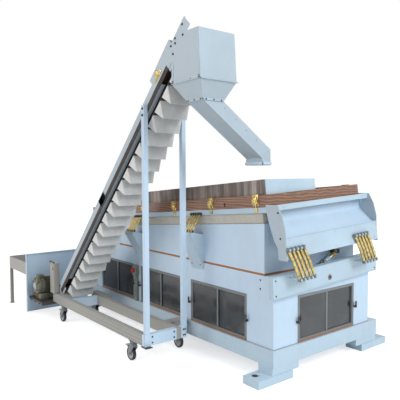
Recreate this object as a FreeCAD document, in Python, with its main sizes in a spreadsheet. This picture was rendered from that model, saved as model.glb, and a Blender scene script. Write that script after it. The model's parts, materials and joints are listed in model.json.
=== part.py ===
import FreeCAD, Part
import Sketcher
import math
import os
import re

# Seed gravity separator with its bucket elevator, in millimetres.
# The origin is the middle of the anchor holes on the floor. +X points to the
# discharge end, -Y to the long side where the elevator stands, +Z up.

DRIVING_SIZES = {
    # Base frame and feet
    "base_back_margin": 111.0,
    "rail_width": 120.0,
    "rail_height": 133.0,
    "joint_gap": 0.3,
    "cut_margin": 1.0,
    "foot_bar_width": 175.0,
    "foot_bar_height": 64.0,
    "foot_bar_length": 390.0,
    "foot_overhang": 160.0,
    "foot_block_width": 157.0,
    "foot_block_height": 65.0,
    "foot_block_length": 308.0,
    "anchor_hole_diameter": 22.0,
    "anchor_edge": 90.0,
    # Fan cabinet
    "cabinet_end_margin": 85.0,
    "cabinet_back_margin": 95.0,
    "cabinet_height": 574.5,
    "cabinet_setback": 20.0,
    "wall_thickness": 15.0,
    "floor_thickness": 8.0,
    "top_thickness": 12.0,
    "seal_thickness": 18.5,
    "window_width": 755.0,
    "window_height": 384.0,
    "window_sill": 8.0,
    "window_pitch": 900.0,
    "window_shift": -27.0,
    "end_window_shift": 28.0,
    "window_frame_bar": 22.0,
    "window_frame_depth": 30.0,
    "pane_thickness": 5.0,
    "pane_overlap": 20.0,
    "pane_setback": 5.5,
    "pane_gap": 4.0,
    "fan_diameter": 420.0,
    "fan_width": 260.0,
    "fan_shaft_diameter": 40.0,
    "fan_shaft_overhang": 60.0,
    "switch_width": 70.0,
    "switch_height": 110.0,
    "switch_depth": 45.0,
    "switch_centre_height": 600.0,
    "switch_knob_diameter": 44.0,
    "switch_knob_depth": 30.0,
    "duct_width": 46.0,
    "duct_depth": 25.0,
    # Air chest and deck
    "chest_end_inset": 35.0,
    "chest_side_inset": 10.0,
    "chest_shift": -15.0,
    "deck_length": 3010.0,
    "deck_width": 1200.0,
    "deck_centre_x": 5.0,
    "deck_centre_height": 1247.0,
    "deck_slope": 4.745,
    "deck_fall": 2.862,
    "sleeve_height": 84.0,
    "sleeve_inset": 8.0,
    "deck_rail_height": 45.0,
    "deck_rail_width": 50.0,
    "screen_thickness": 12.0,
    "board_thickness": 30.0,
    "board_height": 100.0,
    "slot_length": 205.0,
    "slot_height": 34.0,
    "slot_depth": 10.0,
    "slot_start": 985.0,
    "slot_rise": 20.0,
    "upstand_thickness": 4.0,
    "upstand_rise": 120.0,
    "upstand_drop": 30.0,
    "upstand_start": -450.0,
    "end_upstand_length": 600.0,
    "clamp_pitch": 565.0,
    "clamp_first": -316.0,
    "clamp_count": 4.0,
    "clamp_width": 66.0,
    "clamp_thickness": 6.0,
    "clamp_screw_diameter": 33.0,
    "clamp_screw_length": 22.0,
    "clamp_screw_sides": 6.0,
    # Discharge trough
    "wing_thickness": 8.0,
    "wing_reach": 165.0,
    "wing_depth": 280.0,
    "wing_overlap": 14.0,
    "wing_top_rise": 20.0,
    "wing_top_length": 108.0,
    "wing_top_fall": 8.0,
    "wing_nose_length": 147.0,
    "wing_nose_top": 33.0,
    "wing_nose_bottom": 145.0,
    "wing_heel_rise": 18.0,
    "wing_root_drop": 34.0,
    "wing_waist_length": 7.0,
    "wing_waist_rise": 188.0,
    "wing_hip_length": 39.0,
    "wing_hip_rise": 66.0,
    "tab_start": 74.0,
    "tab_taper": 4.0,
    "tab_drop": 92.0,
    "tab_slant": 6.0,
    "bar_standoff": 88.0,
    "bar_height": 44.0,
    "bar_shelf": 35.0,
    "pan_lip": 75.0,
    "pan_end_gap": 16.0,
    "pan_end_drop": 20.0,
    "pan_end_lip": 6.0,
    "trough_sheet": 4.0,
    "skirt_height": 165.0,
    "skirt_top_drop": 193.0,
    # Tilting end beam and its spring packs
    "beam_depth": 50.0,
    "beam_height": 177.0,
    "beam_length": 1375.0,
    "beam_tilt": 3.0,
    "beam_centre_height": 799.0,
    "beam_centre_y": -50.0,
    "beam_sheet": 5.0,
    "bar_diameter": 26.0,
    "bar_pitch": 44.0,
    "bar_count": 5.0,
    "bar_sides": 8.0,
    "eye_size": 30.0,
    "eye_width": 36.0,
    "pack_standoff": 102.0,
    "skirt_setback": 10.0,
    "pack_spacing": 848.0,
    "pack_top_start": -600.0,
    "pack_top_drop": 285.0,
    "pack_foot_start": -550.0,
    "pack_foot_drop": 32.0,
    "strut_diameter": 38.0,
    "strut_eye_size": 44.0,
    "strut_standoff": 55.0,
    "strut_low_y": -20.0,
    "strut_run": 190.0,
    "strut_rise": 90.0,
    "strut_foot_height": 34.0,
    # Side brackets and springs
    "arm_width": 170.0,
    "arm_sheet": 6.0,
    "arm_first_x": 600.0,
    "arm_pitch": 1010.0,
    "arm_count": 3.0,
    "arm_foot_height": 770.0,
    "arm_drop": 148.0,
    "arm_lip": 22.0,
    "spring_spread": 96.0,
    "side_bar_pitch": 34.0,
    "side_bar_diameter": 18.0,
    "side_pin_diameter": 26.0,
    # Elevator
    "elevator_standoff": 389.0,
    "incline": 45.0,
    "tail_x": -1125.0,
    "tail_height": 350.0,
    "drum_spacing": 3040.0,
    "drum_radius": 40.0,
    "shaft_diameter": 25.0,
    "belt_thickness": 5.0,
    "belt_width": 300.0,
    "bucket_count": 42.0,
    "bucket_width": 300.0,
    "bucket_tip_width": 240.0,
    "bucket_reach": 100.0,
    "bucket_foot": 120.0,
    "bucket_lean": 20.0,
    "bucket_sheet": 3.0,
    "channel_width": 348.0,
    "channel_sheet": 4.0,
    "channel_depth": 102.0,
    "channel_offset": 3.0,
    "channel_length": 3600.0,
    "far_channel_length": 3380.0,
    "channel_tail": 217.0,
    "channel_flange": 45.0,
    "channel_lip": 14.0,
    "drum_clearance": 200.0,
    "bearing_plate_length": 110.0,
    "bearing_plate_depth": 128.0,
    "cover_start": 2760.0,
    "cover_length": 390.0,
    "cover_rise": 50.0,
    "hood_reach": 361.0,
    "hood_lean": 25.0,
    "hood_height": 367.0,
    "hood_left": 1030.0,
    "hood_bottom": 2338.0,
    "hood_sheet": 3.0,
    "funnel_height": 138.0,
    "funnel_notch_depth": 38.0,
    "funnel_notch_length": 60.0,
    "bucket_clearance": 2.0,
    "chute_width": 193.0,
    "chute_left": 1120.0,
    "chute_offset": 91.0,
    "chute_mouth": 202.0,
    "chute_slope": 34.5,
    "chute_run": 620.0,
    "chute_collar": 95.0,
    "chute_collar_height": 57.0,
    "post_size": 40.0,
    "post_x": 643.0,
    "post_top": 2220.0,
    "ground_beam_width": 50.0,
    "ground_beam_end": 680.0,
    "ground_beam_height": 100.0,
    "ground_beam_bottom": 190.0,
    "ground_beam_start": -1300.0,
    "cross_beam_x": -895.0,
    "rear_beam_inset": 69.0,
    "outrigger_reach": 201.0,
    "left_outrigger_width": 80.0,
    "left_outrigger_lap": 150.0,
    # Casters
    "wheel_diameter": 125.0,
    "wheel_width": 32.0,
    "wheel_bore": 12.0,
    "caster_right_x": 450.0,
    "caster_left_x": -1050.0,
    "caster_inset": 40.0,
    "caster_trail": 35.0,
    "caster_plate": 90.0,
    "caster_plate_thickness": 6.0,
    "fork_sheet": 4.0,
    "fork_clearance": 5.0,
    "fork_gap": 0.3,
    "fork_bridge_diameter": 66.0,
    "cheek_half_width": 32.0,
    "cheek_end": 18.0,
    # Feed hopper and drive
    "panel_x": -1715.0,
    "panel_half_width": 390.0,
    "panel_height": 696.0,
    "panel_bottom": 7.0,
    "panel_sheet": 5.0,
    "panel_fold": 30.0,
    "tray_length": 600.0,
    "tray_top": 600.0,
    "tray_depth": 145.0,
    "tray_sheet": 4.0,
    "leg_size": 35.0,
    "motor_diameter": 200.0,
    "motor_length": 260.0,
    "motor_x": -1520.0,
    "motor_y": -1450.0,
    "motor_rise": 60.0,
    "gearbox_side": 150.0,
    "gearbox_height": 80.0,
    "gearbox_inset": 40.0,
    "drive_plate_thickness": 20.0,
    "drive_plate_width": 260.0,
    "drive_plate_reach": 180.0,
    "guard_width": 70.0,
    "guard_length": 120.0,
    "guard_height": 330.0,
    "guard_overhang": 60.0,
}

# Sizes that follow from the deck outward: the chest fits in the deck's frame,
# the cabinet holds the chest, the base holds the cabinet, the elevator stands off the base.
FOLLOWING_SIZES = {
    "chest_width": "deck_width - 2 * chest_side_inset",
    "chest_length": "deck_length - 2 * chest_end_inset",
    "cabinet_depth": "chest_width + cabinet_back_margin",
    "cabinet_length": "chest_length + 2 * cabinet_end_margin",
    "base_width": "cabinet_depth + cabinet_setback + base_back_margin",
    "base_length": "cabinet_length + 2 * cabinet_setback",
    "deck_centre_y": "cabinet_setback - base_width / 2 + chest_width / 2",
    "elevator_y": "-base_width / 2 - elevator_standoff",
    "chute_near": "elevator_y - chute_offset",
    "caster_front_y": "elevator_y - channel_width / 2 - ground_beam_width / 2",
    "rear_beam_y": "elevator_y + channel_width / 2 - rear_beam_inset",
    "caster_rear_y": "rear_beam_y + ground_beam_width + outrigger_reach - caster_inset",
    "caster_rear_left_y": "rear_beam_y + ground_beam_width + left_outrigger_width / 2",
}

WORD = re.compile(r"\b([a-z]+(?:_[a-z]+)+|incline)\b")
NODES = {}


def bound(text):
    """Point every size named in an expression at its cell in its sheet."""
    return WORD.sub(lambda match: sheet_of(match.group(1)) + match.group(1), str(text))


def sheet_of(alias):
    return "Following." if alias in FOLLOWING_SIZES else "Sizes."


def fill_sheet(name, cells):
    """Sheet with one named row for each size."""
    sheet = document.addObject("Spreadsheet::Sheet", name)
    for row, (alias, content) in enumerate(cells.items(), 1):
        sheet.set("A%d" % row, alias.replace("_", " "))
        sheet.setAlias("B%d" % row, alias)
        sheet.set("B%d" % row, content)
    document.recompute()


document = FreeCAD.newDocument("SeedGravitySeparator")
fill_sheet("Sizes", {alias: repr(value) for alias, value in DRIVING_SIZES.items()})
fill_sheet("Following", {alias: "=" + bound(text) for alias, text in FOLLOWING_SIZES.items()})


def size(text):
    """Value of an expression in the sizes, for the few shapes made in code."""
    return eval_sizes(str(text))


def eval_sizes(text):
    probe.set("A1", "=" + bound(text))
    probe.recompute()
    value = probe.get("A1")
    return float(getattr(value, "Value", value))


probe = document.addObject("Spreadsheet::Sheet", "Probe")


def move(thing, corner):
    """Bind an object's place, so that it follows the sizes."""
    for letter, text in zip("xyz", corner):
        thing.setExpression(".Placement.Base." + letter, bound(text))


def box(name, lengths, corner):
    """Block with its lowest corner at the given place."""
    block = document.addObject("Part::Box", name)
    for side, text in zip(("Length", "Width", "Height"), lengths):
        block.setExpression(side, bound(text))
    move(block, corner)
    return block


def cylinder(name, radius, length, base, yaw=0, pitch=0, roll=0):
    """Cylinder along its own Z axis, turned by yaw, pitch and roll."""
    rod = document.addObject("Part::Cylinder", name)
    rod.setExpression("Radius", bound(radius))
    rod.setExpression("Height", bound(length))
    turn_to(rod, base, yaw, pitch, roll)
    return rod


def prism(name, sides, radius, length, base, yaw=0, pitch=0, roll=0):
    """Bar of a regular many-sided section along its own Z axis, turned likewise."""
    bar = document.addObject("Part::Prism", name)
    bar.setExpression("Polygon", bound(sides))
    bar.setExpression("Circumradius", bound(radius))
    bar.setExpression("Height", bound(length))
    turn_to(bar, base, yaw, pitch, roll)
    return bar


def turn_to(thing, base, yaw=0, pitch=0, roll=0):
    place = "placement(vector(%s; %s; %s); rotation(%s; %s; %s))" % (*base, yaw, pitch, roll)
    thing.setExpression("Placement", bound(place))


def cut(name, base, tool):
    result = document.addObject("Part::Cut", name)
    result.Base = base
    result.Tool = tool
    return result


def fuse(name, pieces):
    result = document.addObject("Part::MultiFuse", name)
    result.Shapes = pieces
    return result


def group(name, pieces):
    result = document.addObject("Part::Compound", name)
    result.Links = pieces
    return result


def profile(name, plane, points, depth, midplane=False):
    """Body padded from an outline on one of its own origin planes.

    An outline on XZ is padded toward +Y, on YZ toward +X and on XY toward +Z.
    """
    body = document.addObject("PartDesign::Body", name)
    sketch = body.newObject("Sketcher::SketchObject", name + "_outline")
    origin_plane = [item for item in body.Origin.OriginFeatures if item.Role == plane + "_Plane"][0]
    sketch.AttachmentSupport = (origin_plane, [""])
    sketch.MapMode = "FlatFace"
    places = [(size(across), size(up)) for across, up in points]
    count = len(places)
    for index, start in enumerate(places):
        end = places[(index + 1) % count]
        sketch.addGeometry(Part.LineSegment(FreeCAD.Vector(*start, 0), FreeCAD.Vector(*end, 0)))
    for index in range(count):
        sketch.addConstraint(Sketcher.Constraint("Coincident", index, 2, (index + 1) % count, 1))
    for index, (place, point) in enumerate(zip(places, points)):
        for kind, value, text in zip(("DistanceX", "DistanceY"), place, point):
            number = sketch.addConstraint(Sketcher.Constraint(kind, -1, 1, index, 1, value))
            sketch.setExpression("Constraints[%d]" % number, bound(text))
    pad = body.newObject("PartDesign::Pad", name + "_pad")
    pad.Profile = sketch
    pad.setExpression("Length", bound(depth))
    pad.Midplane = midplane
    pad.Reversed = plane == "XZ" and not midplane
    return body


def node(name, thing):
    """Name a finished sub-part."""
    thing.Label = name
    NODES[name] = thing
    return thing


# Heights that follow from the sizes
RAIL_BOTTOM = "(foot_bar_height + foot_block_height)"
RAIL_TOP = "(%s + rail_height)" % RAIL_BOTTOM
CABINET_FRONT = "(-base_width / 2 + cabinet_setback)"
CABINET_TOP = "(%s + cabinet_height)" % RAIL_TOP
WALL_HEIGHT = "(cabinet_height - top_thickness)"
CHEST_BOTTOM = "(%s + seal_thickness)" % CABINET_TOP


def make_base():
    along = ("base_length", "rail_width", "rail_height")
    across = ("rail_width", "base_width - 2 * (rail_width + joint_gap)", "rail_height")
    start = "-base_width / 2 + rail_width + joint_gap"
    node("base_rails", group("BaseRails", [
        box("RailFront", along, ("-base_length / 2", "-base_width / 2", RAIL_BOTTOM)),
        box("RailBack", along, ("-base_length / 2", "base_width / 2 - rail_width", RAIL_BOTTOM)),
        box("RailLeft", across, ("-base_length / 2", start, RAIL_BOTTOM)),
        box("RailRight", across, ("base_length / 2 - rail_width", start, RAIL_BOTTOM))]))
    feet = []
    for x_sign in (-1, 1):
        for y_sign in (-1, 1):
            feet.append(make_foot(x_sign, y_sign))
    node("feet", group("Feet", feet))


def make_foot(x_sign, y_sign):
    """Anchored foot bar with the block that carries the rail."""
    name = "Foot%s%s" % ("L" if x_sign < 0 else "R", "F" if y_sign < 0 else "B")
    centre_x = "%d * (base_length / 2 - foot_bar_width / 2)" % x_sign
    outer_y = "(base_width / 2 + foot_overhang)"
    middle_y = "%d * (%s - foot_bar_length / 2)" % (y_sign, outer_y)
    bar = box(name + "Bar", ("foot_bar_width", "foot_bar_length", "foot_bar_height"),
              (centre_x + " - foot_bar_width / 2", middle_y + " - foot_bar_length / 2", "0"))
    block_y = "%d * (base_width / 2 - foot_block_length / 2)" % y_sign
    block = box(name + "Block", ("foot_block_width", "foot_block_length", "foot_block_height"),
                (centre_x + " - foot_block_width / 2", block_y + " - foot_block_length / 2", "foot_bar_height"))
    hole_y = "%d * (%s - anchor_edge)" % (y_sign, outer_y)
    hole = cylinder(name + "Hole", "anchor_hole_diameter / 2", "foot_bar_height + 2 * cut_margin",
                    (centre_x, hole_y, "-cut_margin"))
    return fuse(name, [cut(name + "Drilled", bar, hole), block])


WINDOW_BOTTOM = "(%s + window_sill)" % RAIL_TOP
FRONT_WINDOWS = ["(window_shift + %d * window_pitch)" % step for step in (-1, 0, 1)]
END_WINDOW = "(%s + cabinet_depth / 2 + end_window_shift)" % CABINET_FRONT


def make_cabinet():
    left = "-cabinet_length / 2"
    wall_span = "cabinet_length"
    node("cabinet_floor", box(
        "Floor", ("cabinet_length - 2 * wall_thickness", "cabinet_depth - 2 * wall_thickness", "floor_thickness"),
        (left + " + wall_thickness", CABINET_FRONT + " + wall_thickness", RAIL_TOP)))
    node("cabinet_top", box("Top", (wall_span, "cabinet_depth", "top_thickness"),
                            (left, CABINET_FRONT, CABINET_TOP + " - top_thickness")))
    for name, y in (("front", CABINET_FRONT), ("back", CABINET_FRONT + " + cabinet_depth - wall_thickness")):
        plate = box("Wall" + name, (wall_span, "wall_thickness", WALL_HEIGHT), (left, y, RAIL_TOP))
        holes = []
        for index, centre in enumerate(FRONT_WINDOWS):
            holes.append(box("Hole%s%d" % (name, index), ("window_width", "wall_thickness + 2 * cut_margin", "window_height"),
                             (centre + " - window_width / 2", y + " - cut_margin", WINDOW_BOTTOM)))
        node("%s_wall" % name, cut("Pierced" + name, plate, group("Holes" + name, holes)))
    ends = []
    for name, x in (("LeftEnd", left), ("RightEnd", "cabinet_length / 2 - wall_thickness")):
        plate = box("Wall" + name, ("wall_thickness", "cabinet_depth - 2 * wall_thickness", WALL_HEIGHT),
                    (x, CABINET_FRONT + " + wall_thickness", RAIL_TOP))
        hole = box("Hole" + name, ("wall_thickness + 2 * cut_margin", "window_width", "window_height"),
                   (x + " - cut_margin", END_WINDOW + " - window_width / 2", WINDOW_BOTTOM))
        ends.append(cut("Pierced" + name, plate, hole))
    node("end_walls", group("EndWalls", ends))
    make_windows()
    fans = [cylinder("FanShaft", "fan_shaft_diameter / 2", "2 * (window_pitch + fan_shaft_overhang) + fan_width",
                     ("window_shift - window_pitch - fan_width / 2 - fan_shaft_overhang", END_WINDOW,
                      RAIL_TOP + " + floor_thickness + fan_diameter / 2"), pitch=90)]
    for index, centre in enumerate(FRONT_WINDOWS):
        fans.append(cylinder("Fan%d" % index, "fan_diameter / 2", "fan_width",
                             (centre + " - fan_width / 2", END_WINDOW, RAIL_TOP + " + floor_thickness + fan_diameter / 2"),
                             pitch=90))
    node("fan_set", fuse("Fans", fans))


PANE_STARTS = (" - window_width / 2 + window_frame_bar", " - pane_overlap / 2")


def pane_depth(pane, inward):
    """Step from a wall's face in to the pane, the second one behind the first."""
    depth = "(pane_setback + %d * (pane_thickness + pane_gap))" % pane
    return " + " + depth if inward > 0 else " - %s - pane_thickness" % depth


def make_windows():
    """Sliding windows: a frame with two panes that overlap in the middle."""
    frames = []
    panes = []
    pane_width = "(window_width / 2 - window_frame_bar + pane_overlap / 2)"
    pane_height = "(window_height - 2 * window_frame_bar)"
    pane_bottom = WINDOW_BOTTOM + " + window_frame_bar"
    for side, y, inward in (("F", CABINET_FRONT, 1), ("B", CABINET_FRONT + " + cabinet_depth", -1)):
        for index, centre in enumerate(FRONT_WINDOWS):
            name = "Window%s%d" % (side, index)
            low_y = y if inward > 0 else y + " - window_frame_depth"
            outer = box(name + "Outer", ("window_width", "window_frame_depth", "window_height"),
                        (centre + " - window_width / 2", low_y, WINDOW_BOTTOM))
            inner = box(name + "Inner",
                        ("window_width - 2 * window_frame_bar", "window_frame_depth + 2 * cut_margin", pane_height),
                        (centre + " - window_width / 2 + window_frame_bar", low_y + " - cut_margin", pane_bottom))
            frames.append(cut(name, outer, inner))
            for pane, start in enumerate(PANE_STARTS):
                place_y = y + pane_depth(pane, inward)
                panes.append(box(name + "Pane%d" % pane, (pane_width, "pane_thickness", pane_height),
                                 (centre + start, place_y, pane_bottom)))
    for side, x, inward in (("L", "-cabinet_length / 2", 1), ("R", "cabinet_length / 2", -1)):
        name = "Window" + side
        low_x = x if inward > 0 else x + " - window_frame_depth"
        outer = box(name + "Outer", ("window_frame_depth", "window_width", "window_height"),
                    (low_x, END_WINDOW + " - window_width / 2", WINDOW_BOTTOM))
        inner = box(name + "Inner",
                    ("window_frame_depth + 2 * cut_margin", "window_width - 2 * window_frame_bar", pane_height),
                    (low_x + " - cut_margin", END_WINDOW + " - window_width / 2 + window_frame_bar", pane_bottom))
        frames.append(cut(name, outer, inner))
        for pane, start in enumerate(PANE_STARTS):
            place_x = x + pane_depth(pane, inward)
            panes.append(box(name + "Pane%d" % pane, ("pane_thickness", pane_width, pane_height),
                             (place_x, END_WINDOW + start, pane_bottom)))
    node("window_frames", group("WindowFrames", frames))
    node("window_panes", group("WindowPanes", panes))


def make_switch():
    """Red rotary switch on a grey box, with its cable duct down the pillar."""
    centre_x = "(window_shift - window_pitch / 2)"
    box_bottom = "(switch_centre_height - switch_height / 2)"
    body = box("SwitchBox", ("switch_width", "switch_depth", "switch_height"),
               (centre_x + " - switch_width / 2", CABINET_FRONT + " - switch_depth", box_bottom))
    duct = box("SwitchDuct", ("duct_width", "duct_depth", box_bottom + " - " + RAIL_TOP),
               (centre_x + " - duct_width / 2", CABINET_FRONT + " - duct_depth", RAIL_TOP))
    node("switch_box", fuse("SwitchHousing", [body, duct]))
    node("switch_knob", cylinder("Knob", "switch_knob_diameter / 2", "switch_knob_depth",
                                 (centre_x, CABINET_FRONT + " - switch_depth", "switch_centre_height"), roll=90))


DECK_PLACE = ("deck_centre_x", "deck_centre_y", "deck_centre_height")


def on_deck(name, pieces):
    """Node made of pieces in the deck's own frame, tilted both ways with it."""
    tilted = group(name + "_tilted", pieces)
    turn_to(tilted, DECK_PLACE, 0, "-deck_slope", "deck_fall")
    return node(name, tilted)


def make_chest():
    chest_left = "(-chest_length / 2 + chest_shift)"
    seal = box("Seal", ("chest_length", "chest_width", "seal_thickness"), (chest_left, CABINET_FRONT, CABINET_TOP))
    node("seal_strip", seal)
    block = box("ChestBlock", ("chest_length", "chest_width", "deck_centre_height"),
                (chest_left, CABINET_FRONT, CHEST_BOTTOM))
    above = group("AboveChest", [box("AboveChestBox", ("2 * deck_length", "2 * deck_width", "2 * deck_centre_height"),
                                     ("-deck_length", "-deck_width", "-sleeve_height"))])
    turn_to(above, DECK_PLACE, 0, "-deck_slope", "deck_fall")
    node("air_chest", cut("Chest", block, above))
    on_deck("canvas_sleeve", [box(
        "Sleeve", ("chest_length - 2 * sleeve_inset", "chest_width - 2 * sleeve_inset", "sleeve_height"),
        ("-chest_length / 2 + chest_shift - deck_centre_x + sleeve_inset", "-chest_width / 2 + sleeve_inset", "-sleeve_height"))])


DECK_LEFT = "(-deck_length / 2)"
DECK_FRONT = "(-deck_width / 2)"
SCREEN_TOP = "(deck_rail_height + screen_thickness)"
BOARD_TOP = "(deck_rail_height + board_height)"


def make_deck():
    side_rail = ("deck_length", "deck_rail_width", "deck_rail_height")
    end_rail = ("deck_rail_width", "deck_width - 2 * (deck_rail_width + joint_gap)", "deck_rail_height")
    rail_start = DECK_FRONT + " + deck_rail_width + joint_gap"
    on_deck("deck_frame", [
        box("DeckRailFront", side_rail, (DECK_LEFT, DECK_FRONT, "0")),
        box("DeckRailBack", side_rail, (DECK_LEFT, "deck_width / 2 - deck_rail_width", "0")),
        box("DeckRailLeft", end_rail, (DECK_LEFT, rail_start, "0")),
        box("DeckRailRight", end_rail, ("deck_length / 2 - deck_rail_width", rail_start, "0"))])
    on_deck("deck_screen", [box(
        "Screen", ("deck_length - 2 * board_thickness", "deck_width - 2 * board_thickness", "screen_thickness"),
        (DECK_LEFT + " + board_thickness", DECK_FRONT + " + board_thickness", "deck_rail_height"))])
    board = ("deck_length", "board_thickness", "board_height")
    plain_board = box("BoardFrontBlank", board, (DECK_LEFT, DECK_FRONT, "deck_rail_height"))
    slot = box("BoardSlot", ("slot_length", "slot_depth + cut_margin", "slot_height"),
               ("slot_start", DECK_FRONT + " - cut_margin", "deck_rail_height + slot_rise"))
    end_board = ("board_thickness", "deck_width - 2 * (board_thickness + joint_gap)", "board_height")
    board_start = DECK_FRONT + " + board_thickness + joint_gap"
    on_deck("deck_boards", [
        cut("BoardFront", plain_board, slot),
        box("BoardBack", board, (DECK_LEFT, "deck_width / 2 - board_thickness", "deck_rail_height")),
        box("BoardLeft", end_board, (DECK_LEFT, board_start, "deck_rail_height")),
        box("BoardRight", end_board, ("deck_length / 2 - board_thickness", board_start, "deck_rail_height"))])
    inner_right = "(deck_length / 2 - board_thickness)"
    on_deck("upstand_front", [box(
        "UpstandFront", (inner_right + " - upstand_thickness - upstand_start", "upstand_thickness",
                         "board_height - screen_thickness + upstand_rise"),
        ("upstand_start", DECK_FRONT + " + board_thickness", SCREEN_TOP))])
    start = DECK_FRONT + " + board_thickness"
    top = BOARD_TOP + " + upstand_rise"
    end = profile("UpstandEnd", "YZ", [
        (start, SCREEN_TOP), (start + " + end_upstand_length", SCREEN_TOP),
        (start + " + end_upstand_length", top + " - upstand_drop"), (start, top)], "upstand_thickness")
    move(end, (inner_right + " - upstand_thickness", "0", "0"))
    on_deck("upstand_end", [end])
    clamps = []
    for side in (-1, 1):
        for index in range(int(DRIVING_SIZES["clamp_count"])):
            clamps.append(make_clamp(side, index))
    on_deck("deck_clamps", clamps)


def make_clamp(side, index):
    """Plated hook over the board's edge, with a hand screw on its face."""
    name = "Clamp%s%d" % ("F" if side < 0 else "B", index)
    x = "(clamp_first + %d * clamp_pitch)" % index
    outline = [("-clamp_thickness", "deck_rail_height"), ("0", "deck_rail_height"), ("0", BOARD_TOP),
               ("board_thickness", BOARD_TOP), ("board_thickness", BOARD_TOP + " + clamp_thickness"),
               ("-clamp_thickness", BOARD_TOP + " + clamp_thickness")]
    hook = profile(name + "Hook", "YZ", outline, "clamp_width", midplane=True)
    screw = prism(name + "Screw", "clamp_screw_sides", "clamp_screw_diameter / 2", "clamp_screw_length",
                  ("0", "-clamp_thickness", "deck_rail_height + board_height / 2"), roll=90)
    clamp = fuse(name, [hook, screw])
    if side < 0:
        turn_to(clamp, (x, DECK_FRONT, "0"))
    else:
        turn_to(clamp, (x, "deck_width / 2", "0"), yaw=180)
    return clamp


def make_trough():
    """Discharge trough at the deck's low end, hung between two wing plates."""
    inner = "(deck_length / 2)"
    reach = "(deck_length / 2 + wing_reach)"
    heel = reach + " - skirt_setback"
    wing = [(inner + " - wing_overlap", "deck_rail_height + wing_top_rise"),
            (inner + " + wing_top_length", "deck_rail_height + wing_top_rise - wing_top_fall"),
            (inner + " + wing_nose_length", "-wing_nose_top"), (reach, "-wing_nose_bottom"),
            (heel, "wing_heel_rise - wing_depth"), (heel, "-wing_depth - tab_drop"),
            (inner + " + tab_start - tab_taper", "-wing_depth - tab_drop + tab_slant"),
            (inner + " + tab_start", "-wing_depth"), (inner + " + wing_hip_length", "wing_hip_rise - wing_depth"),
            (inner + " + wing_waist_length", "wing_waist_rise - wing_depth"),
            (inner + " - wing_overlap", "deck_rail_height - wing_root_drop")]
    near = profile("WingNear", "XZ", wing, "wing_thickness")
    move(near, ("0", "-deck_width / 2 - wing_thickness", "0"))
    far = profile("WingFar", "XZ", wing, "wing_thickness")
    move(far, ("0", "deck_width / 2", "0"))
    on_deck("trough_wings", [near, far])
    skirt_top = "-skirt_top_drop"
    skirt_x = heel + " - trough_sheet"
    on_deck("trough_skirt", [box("Skirt", ("trough_sheet", "deck_width", "skirt_height"),
                                 (skirt_x, DECK_FRONT, skirt_top + " - skirt_height"))])
    pan_end = skirt_x + " - pan_end_gap"
    pan_floor = skirt_top + " - pan_end_drop"
    pan = profile("Pan", "XZ", [
        (inner, "0"), (inner + " + trough_sheet", "0"), (inner + " + trough_sheet", "-pan_lip"),
        (pan_end, pan_floor), (pan_end, pan_floor + " - pan_end_lip"),
        (inner, "-pan_lip - trough_sheet")], "deck_width")
    move(pan, ("0", DECK_FRONT, "0"))
    on_deck("trough_pan", [pan])
    face = inner + " + bar_standoff"
    top = "deck_rail_height + wing_top_rise - wing_top_fall"
    bar = profile("TroughBar", "XZ", [
        (face + " + trough_sheet", top), (face + " + trough_sheet", top + " - bar_height"),
        (face, top + " - bar_height"), (face, top + " - trough_sheet"),
        (face + " - bar_shelf", top + " - trough_sheet"), (face + " - bar_shelf", top)], "deck_width")
    move(bar, ("0", DECK_FRONT, "0"))
    on_deck("trough_bar", [bar])


def deck_point(along, across, up):
    """Place in the row's frame of a point given in the deck's own frame."""
    turned_up = "((%s) * sin(deck_fall) + (%s) * cos(deck_fall))" % (across, up)
    x = "deck_centre_x + (%s) * cos(deck_slope) - %s * sin(deck_slope)" % (along, turned_up)
    y = "deck_centre_y + (%s) * cos(deck_fall) - (%s) * sin(deck_fall)" % (across, up)
    z = "deck_centre_height + (%s) * sin(deck_slope) + %s * cos(deck_slope)" % (along, turned_up)
    return x, y, z


def rod(name, radius, low, high):
    """Bar between two points, each coordinate an expression."""
    across, along, rise = ["((%s) - (%s))" % (end, start) for start, end in zip(low, high)]
    length = "sqrt(%s ^ 2 + %s ^ 2 + %s ^ 2)" % (across, along, rise)
    return prism(name, "bar_sides", radius, length, low, pitch="atan(%s / %s)" % (across, rise),
                 roll="asin(-%s / %s)" % (along, length))


def make_end_beam():
    """Tilting channel beam on the cabinet's discharge end."""
    outer = box("EndBeamOuter", ("beam_depth", "beam_length", "beam_height"),
                ("0", "-beam_length / 2", "-beam_height / 2"))
    inner = box("EndBeamInner", ("beam_depth - beam_sheet + cut_margin", "beam_length - 2 * beam_sheet",
                                 "beam_height - 2 * beam_sheet"),
                ("-cut_margin", "-beam_length / 2 + beam_sheet", "-beam_height / 2 + beam_sheet"))
    beam = cut("EndBeam", outer, inner)
    turn_to(beam, ("cabinet_length / 2", "beam_centre_y", "beam_centre_height"), 0, 0, "beam_tilt")
    node("end_beam", beam)
    make_end_springs()
    make_strut()


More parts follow.
